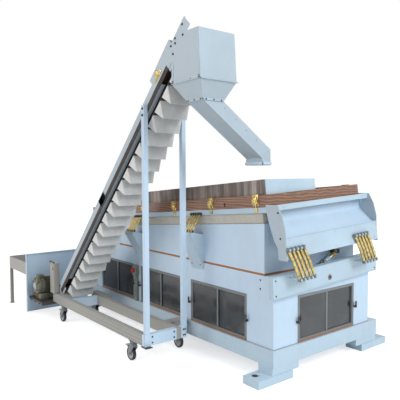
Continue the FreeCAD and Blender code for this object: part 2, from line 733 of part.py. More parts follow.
def make_end_springs():
    """Two packs of slanted bars from the beam's face up to the trough's skirt."""
    beam_face = "cabinet_length / 2 + beam_depth"
    skirt_face = "deck_length / 2 + wing_reach - skirt_setback + joint_gap"
    bars = []
    for pack in range(2):
        for index in range(int(DRIVING_SIZES["bar_count"])):
            name = "EndBar%d%d" % (pack, index)
            step = "(%d * pack_spacing + %d * bar_pitch)" % (pack, index)
            high = deck_point(skirt_face + " + eye_width / 2", "pack_top_start + " + step, "-pack_top_drop")
            low_y = "(pack_foot_start + %s)" % step
            low = (beam_face + " + pack_standoff", low_y,
                   "beam_centre_height + (%s - beam_centre_y) * tan(beam_tilt) + beam_height / 2 - pack_foot_drop" % low_y)
            ends = []
            for end, width in (("Low", "pack_standoff + eye_width / 2"), ("High", "eye_width")):
                ends.append(box(name + end, (width, "eye_size", "eye_size"), ("0", "0", "0")))
            turn_to(ends[0], (beam_face, low[1] + " - eye_size / 2", low[2] + " - eye_size / 2"))
            turn_to(ends[1], deck_point(skirt_face, "pack_top_start + %s - eye_size / 2" % step,
                                        "-pack_top_drop - eye_size / 2"), 0, "-deck_slope", "deck_fall")
            bars.append(fuse(name, [rod(name + "Rod", "bar_diameter / 2", low, high)] + ends))
    node("end_spring_packs", group("EndSprings", bars))


def make_strut():
    """Turnbuckle that sets the deck's end tilt, between the cabinet and the air chest."""
    chest_end = "(chest_length / 2 + chest_shift)"
    x = "(%s + strut_standoff)" % chest_end
    height = CABINET_TOP + " + strut_foot_height"
    foot = box("StrutFoot", ("strut_eye_size", "strut_eye_size", "strut_foot_height + strut_eye_size / 2"),
               (x + " - strut_eye_size / 2", "strut_low_y - strut_eye_size / 2", CABINET_TOP))
    low = (x, "strut_low_y", height)
    high = (x, "strut_low_y + strut_run", height + " + strut_rise")
    body = rod("StrutRod", "strut_diameter / 2", low, high)
    lug = box("StrutLug", ("strut_standoff + strut_eye_size / 2", "strut_eye_size", "strut_eye_size"),
              (chest_end, high[1] + " - strut_eye_size / 2", high[2] + " - strut_eye_size / 2"))
    node("tilt_strut", fuse("Strut", [foot, body, lug]))


def deck_height(x, y):
    """Height of the deck frame's underside over a place on the floor."""
    return "(deck_centre_height + (%s - deck_centre_x) * tan(deck_slope) + (%s - deck_centre_y) * tan(deck_fall))" % (x, y)


def make_side_brackets():
    """Folded arms on the cabinet's sides with the spring bars that carry the deck."""
    arms = []
    springs = []
    for side in (-1, 1):
        for index in range(int(DRIVING_SIZES["arm_count"])):
            name = "Arm%s%d" % ("F" if side < 0 else "B", index)
            x = "(arm_first_x - %d * arm_pitch)" % index
            wall = CABINET_FRONT if side < 0 else "(%s + cabinet_depth)" % CABINET_FRONT
            edge = "(deck_centre_y + %d * deck_width / 2)" % side
            pin_y = "(%s + %d * (spring_spread + side_pin_diameter / 2))" % (edge, side)
            reach = "(%d * (%s - %s) + arm_lip)" % (side, pin_y, wall)
            top = "(%s - arm_drop - arm_foot_height)" % deck_height(x, edge)
            outer = profile(name + "Outer", "YZ", [
                ("0", "0"), ("-" + reach, top + " - arm_lip"), ("-" + reach, top),
                ("-%s + 2 * arm_lip" % reach, top), ("0", top + " - arm_lip"), ], "arm_width", midplane=True)
            inner = profile(name + "Inner", "YZ", [
                ("cut_margin", "2 * arm_sheet"), ("-%s + arm_sheet" % reach, top + " - arm_lip + arm_sheet"),
                ("-%s + arm_sheet" % reach, top + " - arm_sheet"), ("cut_margin", top + " - arm_sheet")],
                "arm_width - 2 * arm_sheet", midplane=True)
            arm = cut(name, outer, inner)
            turn_to(arm, (x, wall, "arm_foot_height"), yaw=0 if side < 0 else 180)
            arms.append(arm)
            springs.append(make_side_springs(name, side, x, pin_y, "%s + arm_foot_height" % top))
    node("side_brackets", group("SideBrackets", arms))
    node("side_springs", group("SideSprings", springs))


def make_side_springs(name, side, x, pin_y, arm_top):
    """Five bars between a pin on the arm and a pin along the deck's edge."""
    pin_length = "(bar_count - 1) * side_bar_pitch + side_pin_diameter"
    low_z = arm_top + " + side_pin_diameter / 2"
    low_pin = prism(name + "LowPin", "bar_sides", "side_pin_diameter / 2", pin_length,
                    (x + " - (%s) / 2" % pin_length, pin_y, low_z), pitch=90)
    along = "((%s - deck_centre_x) / cos(deck_slope))" % x
    across = "%d * (deck_width / 2 + side_pin_diameter / 2 + joint_gap)" % side
    up = "side_pin_diameter / 2"
    high_pin = prism(name + "HighPin", "bar_sides", "side_pin_diameter / 2", pin_length, ("0", "0", "0"))
    turn_to(high_pin, deck_point(along + " - (%s) / 2" % pin_length, across, up), 0, "90 - deck_slope", 0)
    bars = []
    for bar in range(int(DRIVING_SIZES["bar_count"])):
        step = "(%d - (bar_count - 1) / 2) * side_bar_pitch" % bar
        bars.append(rod(name + "Rod%d" % bar, "side_bar_diameter / 2", ("%s + %s" % (x, step), pin_y, low_z),
                        deck_point(along + " + " + step, across, up)))
    return fuse(name + "Springs", [low_pin, high_pin] + bars)


ELEVATOR_PLACE = ("tail_x", "elevator_y", "tail_height")


def on_incline(name, pieces):
    """Node made of pieces in the elevator's own frame, with +X up the incline."""
    inclined = group(name + "_inclined", pieces)
    turn_to(inclined, ELEVATOR_PLACE, 0, "-incline", 0)
    return node(name, inclined)


def make_elevator_sides():
    """Two channels beside the belt, their lower flanges cut back round the drums."""
    sections = []
    for side, name, length in ((-1, "near", "channel_length"), (1, "far", "far_channel_length")):
        half = "%d * channel_width / 2" % side
        web = "%d * (channel_width / 2 - channel_sheet)" % side
        flange = "%d * (channel_width / 2 - channel_flange)" % side
        lip = "%d * (channel_width / 2 - channel_lip)" % side
        bottom = "channel_offset"
        top = "channel_offset + channel_depth"
        section = profile("Channel" + name, "YZ", [
            (half, bottom), (half, top), (lip, top), (lip, top + " - channel_sheet"),
            (web, top + " - channel_sheet"), (web, bottom + " + channel_sheet"),
            (flange, bottom + " + channel_sheet"), (flange, bottom)], length)
        move(section, ("-channel_tail", "0", "0"))
        relief_width = "(channel_flange - channel_sheet + cut_margin)"
        relief_height = "channel_sheet + 2 * cut_margin"
        relief_y = "%d * (channel_width / 2 - channel_sheet - %s / 2) - %s / 2" % (side, relief_width, relief_width)
        relief_z = "channel_offset - cut_margin"
        tail_relief = box("TailRelief" + name, ("channel_tail + drum_clearance + cut_margin", relief_width, relief_height),
                          ("-channel_tail - cut_margin", relief_y, relief_z))
        head_length = length + " - channel_tail - drum_spacing + drum_clearance + cut_margin"
        head_relief = box("HeadRelief" + name, (head_length, relief_width, relief_height),
                          ("drum_spacing - drum_clearance", relief_y, relief_z))
        sections.append(cut("ChannelCut" + name, section, group("Reliefs" + name, [tail_relief, head_relief])))
    on_incline("elevator_sides", sections)


def make_belt():
    drums = []
    plates = []
    for name, along in (("tail_drum", "0"), ("head_drum", "drum_spacing")):
        shell = cylinder(name + "_shell", "drum_radius", "belt_width", (along, "belt_width / 2", "0"), roll=90)
        shaft = cylinder(name + "_shaft", "shaft_diameter / 2", "channel_width - 4 * channel_sheet",
                         (along, "channel_width / 2 - 2 * channel_sheet", "0"), roll=90)
        drums.append(fuse(name, [shell, shaft]))
        for side in (-1, 1):
            low_y = "channel_width / 2 - 2 * channel_sheet" if side > 0 else "-channel_width / 2 + channel_sheet"
            plates.append(box(name + "Plate%d" % side, ("bearing_plate_length", "channel_sheet", "bearing_plate_depth"),
                              (along + " - bearing_plate_length / 2", low_y,
                               "channel_offset + channel_depth - channel_sheet - bearing_plate_depth")))
    on_incline("belt_drums", drums)
    on_incline("bearing_plates", plates)
    outer = belt_outline("BeltOuter", "drum_radius + belt_thickness", "belt_width")
    inner = belt_outline("BeltInner", "drum_radius", "belt_width + 2 * cut_margin")
    on_incline("conveyor_belt", [cut("Belt", outer, inner)])
    bucket = make_bucket()
    on_incline("buckets", [spread_buckets(bucket)])


def belt_outline(name, radius, width):
    """Loop round both drums, as two discs and the block between them."""
    ends = []
    for index, along in enumerate(("0", "drum_spacing")):
        ends.append(cylinder(name + "End%d" % index, radius, width, (along, "(%s) / 2" % width, "0"), roll=90))
    middle = box(name + "Middle", ("drum_spacing", width, "2 * (%s)" % radius),
                 ("0", "-(%s) / 2" % width, "-(%s)" % radius))
    return fuse(name, ends + [middle])


BUCKET_SLOPE = "((bucket_foot - bucket_lean) / bucket_reach)"
BUCKET_TAPER = "((bucket_width - bucket_tip_width) / 2 / bucket_reach)"


def make_bucket():
    """One open bucket: a slanted outer wall with two ends that narrow to its lip."""
    wall = "bucket_sheet * sqrt(1 + %s ^ 2)" % BUCKET_SLOPE
    outer = wedge("BucketOuter", ("0", "bucket_reach"), ("0", "bucket_foot"), ("bucket_lean", "bucket_lean"),
                  "bucket_width / 2", "bucket_tip_width / 2")
    inner = wedge("BucketInner", ("bucket_sheet", "bucket_reach + bucket_sheet"),
                  ("-bucket_foot", "bucket_foot - bucket_sheet * %s - %s" % (BUCKET_SLOPE, wall)),
                  ("-bucket_foot", "bucket_lean - bucket_sheet * %s - %s" % (BUCKET_SLOPE, wall)),
                  "bucket_width / 2 - bucket_sheet * (1 + %s)" % BUCKET_TAPER,
                  "bucket_tip_width / 2 - bucket_sheet * (1 + %s)" % BUCKET_TAPER)
    return cut("Bucket", outer, inner)


def wedge(name, heights, foot, tip, foot_half, tip_half):
    """Block that stands on one rectangle and ends in another above it."""
    block = document.addObject("Part::Wedge", name)
    values = {
        "Ymin": heights[0], "Ymax": heights[1], "Xmin": foot[0], "Xmax": foot[1], "X2min": tip[0], "X2max": tip[1],
        "Zmin": "-(%s)" % foot_half, "Zmax": foot_half, "Z2min": "-(%s)" % tip_half, "Z2max": tip_half,
    }
    for key, text in values.items():
        block.setExpression(key, bound(text))
    turn_to(block, ("0", "0", "0"), roll=90)
    return block


def spread_buckets(bucket):
    """Buckets at even steps along the belt's loop, mouths toward the travel."""
    document.recompute()
    run = size("drum_spacing")
    radius = size("drum_radius + belt_thickness")
    count = int(size("bucket_count"))
    loop = 2 * run + 2 * math.pi * radius
    foot = size("bucket_foot")
    copies = []
    for index in range(count):
        place = (index + 0.5) * loop / count
        copy = bucket.Shape.copy()
        copy.Placement = loop_place(place, run, radius, foot).multiply(copy.Placement)
        copies.append(copy)
    result = document.addObject("Part::Feature", "BucketRow")
    result.Shape = Part.makeCompound(copies)
    return result


def loop_place(place, run, radius, foot):
    """Place of a bucket whose foot's middle is at a distance along the loop."""
    half_turn = math.pi * radius
    back = FreeCAD.Placement(FreeCAD.Vector(foot / 2, 0, 0), FreeCAD.Rotation(FreeCAD.Vector(0, 0, 1), 180))
    if place < run:
        frame = FreeCAD.Placement(FreeCAD.Vector(place, 0, radius), FreeCAD.Rotation())
    elif place < run + half_turn:
        angle = math.degrees((place - run) / radius)
        turn = FreeCAD.Rotation(FreeCAD.Vector(0, 1, 0), angle)
        frame = FreeCAD.Placement(FreeCAD.Vector(run, 0, 0) + turn.multVec(FreeCAD.Vector(0, 0, radius)), turn)
    elif place < 2 * run + half_turn:
        turn = FreeCAD.Rotation(FreeCAD.Vector(0, 1, 0), 180)
        frame = FreeCAD.Placement(FreeCAD.Vector(2 * run + half_turn - place, 0, -radius), turn)
    else:
        angle = 180 + math.degrees((place - 2 * run - half_turn) / radius)
        turn = FreeCAD.Rotation(FreeCAD.Vector(0, 1, 0), angle)
        frame = FreeCAD.Placement(turn.multVec(FreeCAD.Vector(0, 0, radius)), turn)
    return frame.multiply(back)


def make_head():
    top = "channel_offset + channel_depth"
    outer = box("CoverOuter", ("cover_length", "channel_width", "cover_rise"), ("cover_start", "-channel_width / 2", top))
    inner = box("CoverInner", ("cover_length + 2 * cut_margin", "channel_width - 2 * channel_sheet", "cover_rise"),
                ("cover_start - cut_margin", "-channel_width / 2 + channel_sheet", top + " - channel_sheet"))
    on_incline("head_cover", [cut("Cover", outer, inner)])
    near = "(elevator_y - channel_width / 2)"
    lift = "(tail_height + channel_offset / cos(incline))"
    right = "(hood_left + hood_reach)"
    roof = "(hood_bottom + hood_height)"
    outline = [("hood_left", "hood_bottom"), (right, "hood_bottom"), (right + " - hood_lean", roof),
               ("tail_x + (%s - %s) / tan(incline)" % (roof, lift), roof),
               ("hood_left", "(hood_left - tail_x) * tan(incline) + " + lift)]
    solid = profile("HoodSolid", "XZ", outline, "channel_width")
    move(solid, ("0", near, "0"))
    inside = profile("HoodInside", "XZ", [
        ("hood_left - cut_margin", "hood_bottom - cut_margin"), (right + " - hood_sheet", "hood_bottom - cut_margin"),
        (right + " - hood_lean - hood_sheet", roof + " - hood_sheet"),
        ("hood_left - cut_margin", roof + " - hood_sheet")], "channel_width - 2 * hood_sheet")
    move(inside, ("0", near + " + hood_sheet", "0"))
    node("head_hood", cut("Hood", solid, inside))
    make_funnel(near, right)
    make_chute()


def make_funnel(near, right):
    """Funnel below the hood, from its full width down to the chute.

    Its left wall is cut back at the top, where the returning buckets pass.
    """
    bottom = "(hood_bottom - funnel_height)"
    shells = []
    for name, wall in (("Outer", "0"), ("Inner", "hood_sheet")):
        wedge = document.addObject("Part::Wedge", "Funnel" + name)
        extra = "0" if wall == "0" else "cut_margin"
        values = {
            "Ymin": "-" + extra, "Ymax": "funnel_height + " + extra,
            "Xmin": "chute_left + " + wall, "Xmax": "chute_left + chute_width - " + wall,
            "Zmin": "-(chute_near + chute_mouth) + " + wall, "Zmax": "-chute_near - " + wall,
            "X2min": "hood_left + " + wall, "X2max": right + " - " + wall,
            "Z2min": "-(%s + channel_width) + %s" % (near, wall), "Z2max": "-%s - %s" % (near, wall),
        }
        for key, text in values.items():
            wedge.setExpression(key, bound(text))
        turn_to(wedge, ("0", "0", bottom), roll=90)
        shells.append(wedge)
    notch_half = "(bucket_width / 2 + bucket_clearance)"
    notch = box("FunnelNotch", ("funnel_notch_length", "2 * " + notch_half, "funnel_notch_depth + cut_margin"),
                ("hood_left - cut_margin", "elevator_y - " + notch_half, "hood_bottom - funnel_notch_depth"))
    node("head_funnel", cut("FunnelNotched", cut("Funnel", shells[0], shells[1]), notch))


def make_chute():
    """Rectangular duct from the funnel down over the deck, with a square mouth."""
    top = "(hood_bottom - funnel_height)"
    fall = "tan(chute_slope)"
    near_end = "(chute_near + chute_run)"
    far_top = "(chute_near + chute_mouth)"
    far_end = "(%s + chute_collar)" % near_end
    floor_end = "(%s - chute_run * %s)" % (top, fall)
    roof_end = "(%s - (%s - %s) * %s)" % (top, far_end, far_top, fall)
    mouth = "(%s - chute_collar_height)" % floor_end
    wall = "hood_sheet"
    slant = "hood_sheet / cos(chute_slope)"
    outer = profile("ChuteOuter", "YZ", [
        ("chute_near", top), (far_top, top), (far_end, roof_end), (far_end, mouth),
        (near_end, mouth), (near_end, floor_end)], "chute_width")
    move(outer, ("chute_left", "0", "0"))
    inner = profile("ChuteInner", "YZ", [
        ("chute_near + 2 * " + wall, top + " + cut_margin"), (far_top + " - " + wall, top + " + cut_margin"),
        (far_end + " - " + wall, roof_end + " - 2 * " + slant), (far_end + " - " + wall, mouth + " - cut_margin"),
        (near_end + " + " + wall, mouth + " - cut_margin"), (near_end + " + " + wall, floor_end + " + " + slant)],
        "chute_width - 2 * " + wall)
    move(inner, ("chute_left + " + wall, "0", "0"))
    node("feed_chute", cut("Chute", outer, inner))


NEAR_FACE = "(elevator_y - channel_width / 2)"
FAR_FACE = "(elevator_y + channel_width / 2)"


def make_stand():
    """Posts and ground beams that carry the elevator."""
    height = "post_top - ground_beam_bottom - ground_beam_height"
    foot = "ground_beam_bottom + ground_beam_height"
    node("elevator_posts", group("Posts", [
        box("FrontPost", ("post_size", "post_size", height), ("post_x", NEAR_FACE + " - post_size", foot)),
        box("RearPost", ("post_size", "post_size", height), ("post_x", FAR_FACE, foot))]))
    beams = [box("FrontBeam", ("ground_beam_end - ground_beam_start", "ground_beam_width", "ground_beam_height"),
                 ("ground_beam_start", NEAR_FACE + " - ground_beam_width", "ground_beam_bottom")),
             box("RearBeam", ("ground_beam_end - cross_beam_x", "ground_beam_width", "ground_beam_height"),
                 ("cross_beam_x", "rear_beam_y", "ground_beam_bottom"))]
    behind = "rear_beam_y + ground_beam_width + joint_gap"
    beams.append(box("OutriggerRight", ("caster_plate", "outrigger_reach", "ground_beam_height"),
                     ("caster_right_x - caster_plate / 2", behind, "ground_beam_bottom")))
    beams.append(box("OutriggerLeft", ("cross_beam_x + left_outrigger_lap - caster_left_x + caster_plate / 2",
                                       "left_outrigger_width", "ground_beam_height"),
                     ("caster_left_x - caster_plate / 2", behind, "ground_beam_bottom")))
    node("ground_beams", group("GroundBeams", beams))
    cross = ("ground_beam_width", "channel_width - rear_beam_inset", "ground_beam_height")
    bracket = ("ground_beam_width", FAR_FACE + " + post_size - rear_beam_y - ground_beam_width", "ground_beam_height")
    node("cross_beams", group("CrossBeams", [
        box("CrossLeft", cross, ("cross_beam_x", NEAR_FACE, "ground_beam_bottom")),
        box("CrossRight", cross, ("ground_beam_end - ground_beam_width", NEAR_FACE, "ground_beam_bottom")),
        box("PostBracket", bracket, ("ground_beam_end - ground_beam_width", "rear_beam_y + ground_beam_width",
                                     "ground_beam_bottom"))]))


CASTERS = {
    "front_right": ("caster_right_x", "caster_front_y"),
    "front_left": ("caster_left_x", "caster_front_y"),
    "rear_right": ("caster_right_x", "caster_rear_y"),
    "rear_left": ("caster_left_x", "caster_rear_left_y"),
}


def make_casters():
    plates = []
    for name, (x, y) in CASTERS.items():
        plates.append(box("Plate" + name, ("caster_plate", "ground_beam_width", "caster_plate_thickness"),
                          (x + " - caster_plate / 2", y + " - ground_beam_width / 2",
                           "ground_beam_bottom - caster_plate_thickness")))
        node("caster_fork_" + name, make_fork(name, x, y))
        node("caster_wheel_" + name, make_wheel(name, x, y))
    node("caster_plates", group("CasterPlates", plates))


FORK_TOP = "(ground_beam_bottom - caster_plate_thickness - fork_gap)"
FORK_HALF = "(wheel_width / 2 + fork_clearance + fork_sheet)"


def make_fork(name, x, y):
    """Swivel fork: a bridge over the wheel, two cheeks and the axle."""
    bridge_bottom = "(wheel_diameter + fork_clearance)"
    bridge = cylinder("Bridge" + name, "fork_bridge_diameter / 2", FORK_TOP + " - " + bridge_bottom, (x, y, bridge_bottom))
    cheeks = []
    for side in (-1, 1):
        cheek = profile("Cheek%s%d" % (name, side), "XZ", [
            ("-caster_trail - cheek_end", "wheel_diameter / 2 - cheek_end"),
            ("-caster_trail + cheek_end", "wheel_diameter / 2 - cheek_end"),
            ("cheek_half_width", bridge_bottom), ("cheek_half_width", bridge_bottom + " + fork_clearance"),
            ("-cheek_half_width", bridge_bottom + " + fork_clearance"),
            ("-caster_trail - cheek_end", "wheel_diameter / 2 + cheek_end")], "fork_sheet")
        inner = "(%s - fork_sheet)" % FORK_HALF
        offset = y + " + " + inner if side > 0 else y + " - " + FORK_HALF
        move(cheek, (x, offset, "0"))
        cheeks.append(cheek)
    axle = cylinder("Axle" + name, "wheel_bore / 2 - joint_gap", "2 * " + FORK_HALF,
                    (x + " - caster_trail", y + " + " + FORK_HALF, "wheel_diameter / 2"), roll=90)
    return fuse("Fork" + name, [bridge] + cheeks + [axle])


def make_wheel(name, x, y):
    tyre = cylinder("Tyre" + name, "wheel_diameter / 2", "wheel_width",
                    (x + " - caster_trail", y + " + wheel_width / 2", "wheel_diameter / 2"), roll=90)
    bore = cylinder("Bore" + name, "wheel_bore / 2", "wheel_width + 2 * cut_margin",
                    (x + " - caster_trail", y + " + wheel_width / 2 + cut_margin", "wheel_diameter / 2"), roll=90)
    return cut("Wheel" + name, tyre, bore)


def make_feed_end():
    """Feed panel and tray, and the drive that stands between them and the tail."""
    low_y = "(elevator_y - panel_half_width)"
    panel = box("PanelSheet", ("panel_sheet", "2 * panel_half_width", "panel_height"),
                ("panel_x - panel_sheet", low_y, "panel_bottom"))
    folds = []
    for name, y in (("Near", low_y), ("Far", "elevator_y + panel_half_width - panel_sheet")):
        folds.append(box("PanelFold" + name, ("panel_fold", "panel_sheet", "panel_height"),
                         ("panel_x - panel_sheet", y, "panel_bottom")))
    node("feed_panel", fuse("Panel", [panel] + folds))
    tray_left = "(panel_x - panel_sheet - tray_length)"
    outer = box("TrayOuter", ("tray_length", "2 * panel_half_width", "tray_depth"),
                (tray_left, low_y, "tray_top - tray_depth"))
    inner = box("TrayInner", ("tray_length - 2 * tray_sheet", "2 * (panel_half_width - tray_sheet)", "tray_depth"),
                (tray_left + " + tray_sheet", low_y + " + tray_sheet", "tray_top - tray_depth + tray_sheet"))
    legs = [cut("Tray", outer, inner)]
    for name, y in (("Near", low_y), ("Far", "elevator_y + panel_half_width - leg_size")):
        legs.append(box("Leg" + name, ("leg_size", "leg_size", "tray_top - tray_depth"), (tray_left, y, "0")))
    node("feed_tray", fuse("TrayOnLegs", legs))
    node("drive_plate", box("DrivePlate", ("ground_beam_start - panel_x", "drive_plate_width", "drive_plate_thickness"),
                            ("panel_x", NEAR_FACE + " - drive_plate_reach", "ground_beam_bottom - drive_plate_thickness")))
    gearbox = box("Gearbox", ("gearbox_side", "gearbox_side", "gearbox_height"),
                  ("motor_x - gearbox_side / 2", "motor_y + gearbox_inset", "ground_beam_bottom"))
    motor = cylinder("Motor", "motor_diameter / 2", "motor_length",
                     ("motor_x", "motor_y + motor_length", "ground_beam_bottom + motor_rise + motor_diameter / 2"), roll=90)
    node("gear_motor", fuse("GearMotor", [gearbox, motor]))
    node("chain_guard", box("Guard", ("guard_length", "guard_width", "guard_height"),
                            ("ground_beam_start - guard_overhang", NEAR_FACE + " - guard_width",
                             "ground_beam_bottom + ground_beam_height")))


make_base()
make_cabinet()
make_switch()
make_chest()
make_deck()
make_trough()
make_end_beam()
make_side_brackets()
make_elevator_sides()
make_belt()
make_head()
make_stand()
make_casters()
make_feed_end()
document.recompute()

for item in document.Objects:
    if "Invalid" in item.State or "Error" in item.State:
        raise RuntimeError("object failed: %s (%s)" % (item.Label, item.State))
os.makedirs("parts", exist_ok=True)
for name, item in NODES.items():
    if item.Shape.isNull() or not item.Shape.isValid():
        raise RuntimeError("shape failed: " + name)
    item.Shape.exportStep("parts/%s.step" % name)
print(len(NODES), "nodes written")
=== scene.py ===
"""Seed gravity separator with its bucket elevator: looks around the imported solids."""
import json
import math
import random

import bmesh
import bpy
from mathutils import Matrix, Vector


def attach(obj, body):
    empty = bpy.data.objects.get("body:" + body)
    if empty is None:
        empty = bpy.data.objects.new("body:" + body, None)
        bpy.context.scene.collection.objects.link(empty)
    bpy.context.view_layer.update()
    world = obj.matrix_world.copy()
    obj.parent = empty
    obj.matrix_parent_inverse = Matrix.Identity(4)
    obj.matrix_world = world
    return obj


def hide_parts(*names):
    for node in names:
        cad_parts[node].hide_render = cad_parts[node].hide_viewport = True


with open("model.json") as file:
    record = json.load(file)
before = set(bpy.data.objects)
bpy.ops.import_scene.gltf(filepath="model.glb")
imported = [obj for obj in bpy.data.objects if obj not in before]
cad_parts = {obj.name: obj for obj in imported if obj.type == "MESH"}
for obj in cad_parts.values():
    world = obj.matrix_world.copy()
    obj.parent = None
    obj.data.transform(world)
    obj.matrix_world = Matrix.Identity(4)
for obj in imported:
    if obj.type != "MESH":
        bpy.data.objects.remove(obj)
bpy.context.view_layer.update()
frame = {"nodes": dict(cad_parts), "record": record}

bl_info = {
    "name": "Seed gravity separator",
    "version": (1, 0, 0),
    "blender": (4, 5, 0),
    "location": "View3D > Sidebar > Separator",
    "description": "Finishes, hardware and stage for a seed gravity separator with a bucket elevator",
    "category": "Add Mesh",
}

MACHINE = "machine"
MM = 0.001

# Places of the solids' own frames, the same as in the part's source
DECK = (Matrix.Translation((0.005, -0.093, 1.247)) @ Matrix.Rotation(math.radians(-4.745), 4, "Y")
        @ Matrix.Rotation(math.radians(2.862), 4, "X"))
INCLINE = Matrix.Translation((-1.125, -1.092, 0.350)) @ Matrix.Rotation(math.radians(-45), 4, "Y")
ROW = Matrix.Identity(4)


class SeparatorFinish(bpy.types.PropertyGroup):
    """Colours of the machine's finishes"""
    panel_paint: bpy.props.FloatVectorProperty(
        name="Panel paint", description="Blue-white paint of the cabinet and air chest",
        subtype="COLOR", size=3, min=0, max=1, default=(0.57, 0.71, 0.85))
    white_paint: bpy.props.FloatVectorProperty(
        name="White paint", description="White paint of the base, skirt and beam",
        subtype="COLOR", size=3, min=0, max=1, default=(0.50, 0.63, 0.73))
    sheet_paint: bpy.props.FloatVectorProperty(
        name="Sheet paint", description="Grey paint of the elevator's sheet metal",
        subtype="COLOR", size=3, min=0, max=1, default=(0.45, 0.53, 0.59))
    beam_paint: bpy.props.FloatVectorProperty(
        name="Beam paint", description="Beige-grey paint of the elevator's ground beams",
        subtype="COLOR", size=3, min=0, max=1, default=(0.37, 0.36, 0.33))
    wood: bpy.props.FloatVectorProperty(
        name="Varnished wood", description="Red-brown varnished wood of the deck's boards",
        subtype="COLOR", size=3, min=0, max=1, default=(0.26, 0.12, 0.065))
    gold: bpy.props.FloatVectorProperty(
        name="Yellow zinc", description="Yellow zinc plate of clamps, springs and struts",
        subtype="COLOR", size=3, min=0, max=1, default=(0.52, 0.40, 0.16))
    canvas: bpy.props.FloatVectorProperty(
        name="Canvas", description="Beige canvas of the deck's air sleeve",
        subtype="COLOR", size=3, min=0, max=1, default=(0.68, 0.64, 0.57))
    bucket: bpy.props.FloatVectorProperty(
        name="Bucket plastic", description="Off-white plastic of the elevator's buckets",
        subtype="COLOR", size=3, min=0, max=1, default=(0.72, 0.72, 0.70))


class SeparatorSizes(bpy.types.PropertyGroup):
    """Sizes of the hardware that dresses the machine"""
    bolt_radius: bpy.props.FloatProperty(
        name="Bolt radius", description="Half the width of a hexagon bolt head",
        subtype="DISTANCE", unit="LENGTH", min=0.003, max=0.02, default=0.009)
    bevel: bpy.props.FloatProperty(
        name="Edge bevel", description="Width of the rounded edges on dressed pieces",
        subtype="DISTANCE", unit="LENGTH", min=0.0, max=0.01, default=0.0015)


# Materials


class Surface:
    """Node material under construction, with its pattern in object coordinates."""

    def __init__(self, name, colour, roughness=0.45, metallic=0.0):
        self.material = bpy.data.materials.new(name)
        self.material.use_nodes = True
        self.nodes = self.material.node_tree.nodes
        self.links = self.material.node_tree.links
        self.shader = self.nodes["Principled BSDF"]
        self.shader.inputs["Roughness"].default_value = roughness
        self.shader.inputs["Metallic"].default_value = metallic
        self.shader.inputs["Base Color"].default_value = (*colour, 1)
        self.colour = None
        self.bump_height = None
        self.place = self.nodes.new("ShaderNodeTexCoord").outputs["Object"]

    def mapped(self, scale=(1, 1, 1), turn=(0, 0, 0)):
        mapping = self.nodes.new("ShaderNodeMapping")
        mapping.inputs["Scale"].default_value = scale
        mapping.inputs["Rotation"].default_value = turn
        self.links.new(self.place, mapping.inputs["Vector"])
        return mapping.outputs["Vector"]

    def noise(self, scale, detail=4.0, rough=0.6, stretch=(1, 1, 1), turn=(0, 0, 0)):
        texture = self.nodes.new("ShaderNodeTexNoise")
        texture.inputs["Scale"].default_value = scale
        texture.inputs["Detail"].default_value = detail
        texture.inputs["Roughness"].default_value = rough
        self.links.new(self.mapped(stretch, turn), texture.inputs["Vector"])
        return texture.outputs["Fac"]

    def wave(self, scale, direction="X", distortion=0.0, stretch=(1, 1, 1), turn=(0, 0, 0)):
        texture = self.nodes.new("ShaderNodeTexWave")
        texture.bands_direction = direction
        texture.inputs["Scale"].default_value = scale
        texture.inputs["Distortion"].default_value = distortion
        texture.inputs["Detail"].default_value = 2.0
        self.links.new(self.mapped(stretch, turn), texture.inputs["Vector"])
        return texture.outputs["Fac"]

    def ramp(self, value, stops):
        ramp = self.nodes.new("ShaderNodeValToRGB")
        while len(ramp.color_ramp.elements) < len(stops):
            ramp.color_ramp.elements.new(0.5)
        for element, (position, colour) in zip(ramp.color_ramp.elements, stops):
            element.position = position
            element.color = (*colour, 1) if len(colour) == 3 else colour
        self.links.new(value, ramp.inputs["Fac"])
        return ramp.outputs["Color"]

    def level(self, value, low, high, start=0.3, end=0.7):
        change = self.nodes.new("ShaderNodeMapRange")
        for key, number in (("From Min", start), ("From Max", end), ("To Min", low), ("To Max", high)):
            change.inputs[key].default_value = number
        self.links.new(value, change.inputs["Value"])
        return change.outputs["Result"]

    def mix(self, factor, first, second, blend="MIX"):
        mix = self.nodes.new("ShaderNodeMix")
        mix.data_type = "RGBA"
        mix.blend_type = blend
        for socket, value in ((mix.inputs[0], factor), (mix.inputs[6], first), (mix.inputs[7], second)):
            if isinstance(value, bpy.types.NodeSocket):
                self.links.new(value, socket)
            elif isinstance(value, tuple):
                socket.default_value = (*value, 1)
            else:
                socket.default_value = value
        return mix.outputs[2]

    def set_colour(self, value):
        self.colour = value
        self.links.new(value, self.shader.inputs["Base Color"])
        return self

    def set_roughness(self, value):
        self.links.new(value, self.shader.inputs["Roughness"])
        return self

    def bump(self, value, strength, distance=0.001):
        node = self.nodes.new("ShaderNodeBump")
        node.inputs["Strength"].default_value = strength
        node.inputs["Distance"].default_value = distance
        self.links.new(value, node.inputs["Height"])
        if self.shader.inputs["Normal"].is_linked:
            self.links.new(self.shader.inputs["Normal"].links[0].from_socket, node.inputs["Normal"])
        self.links.new(node.outputs["Normal"], self.shader.inputs["Normal"])
        return self


def shade(colour, factor):
    return tuple(min(1.0, part * factor) for part in colour)


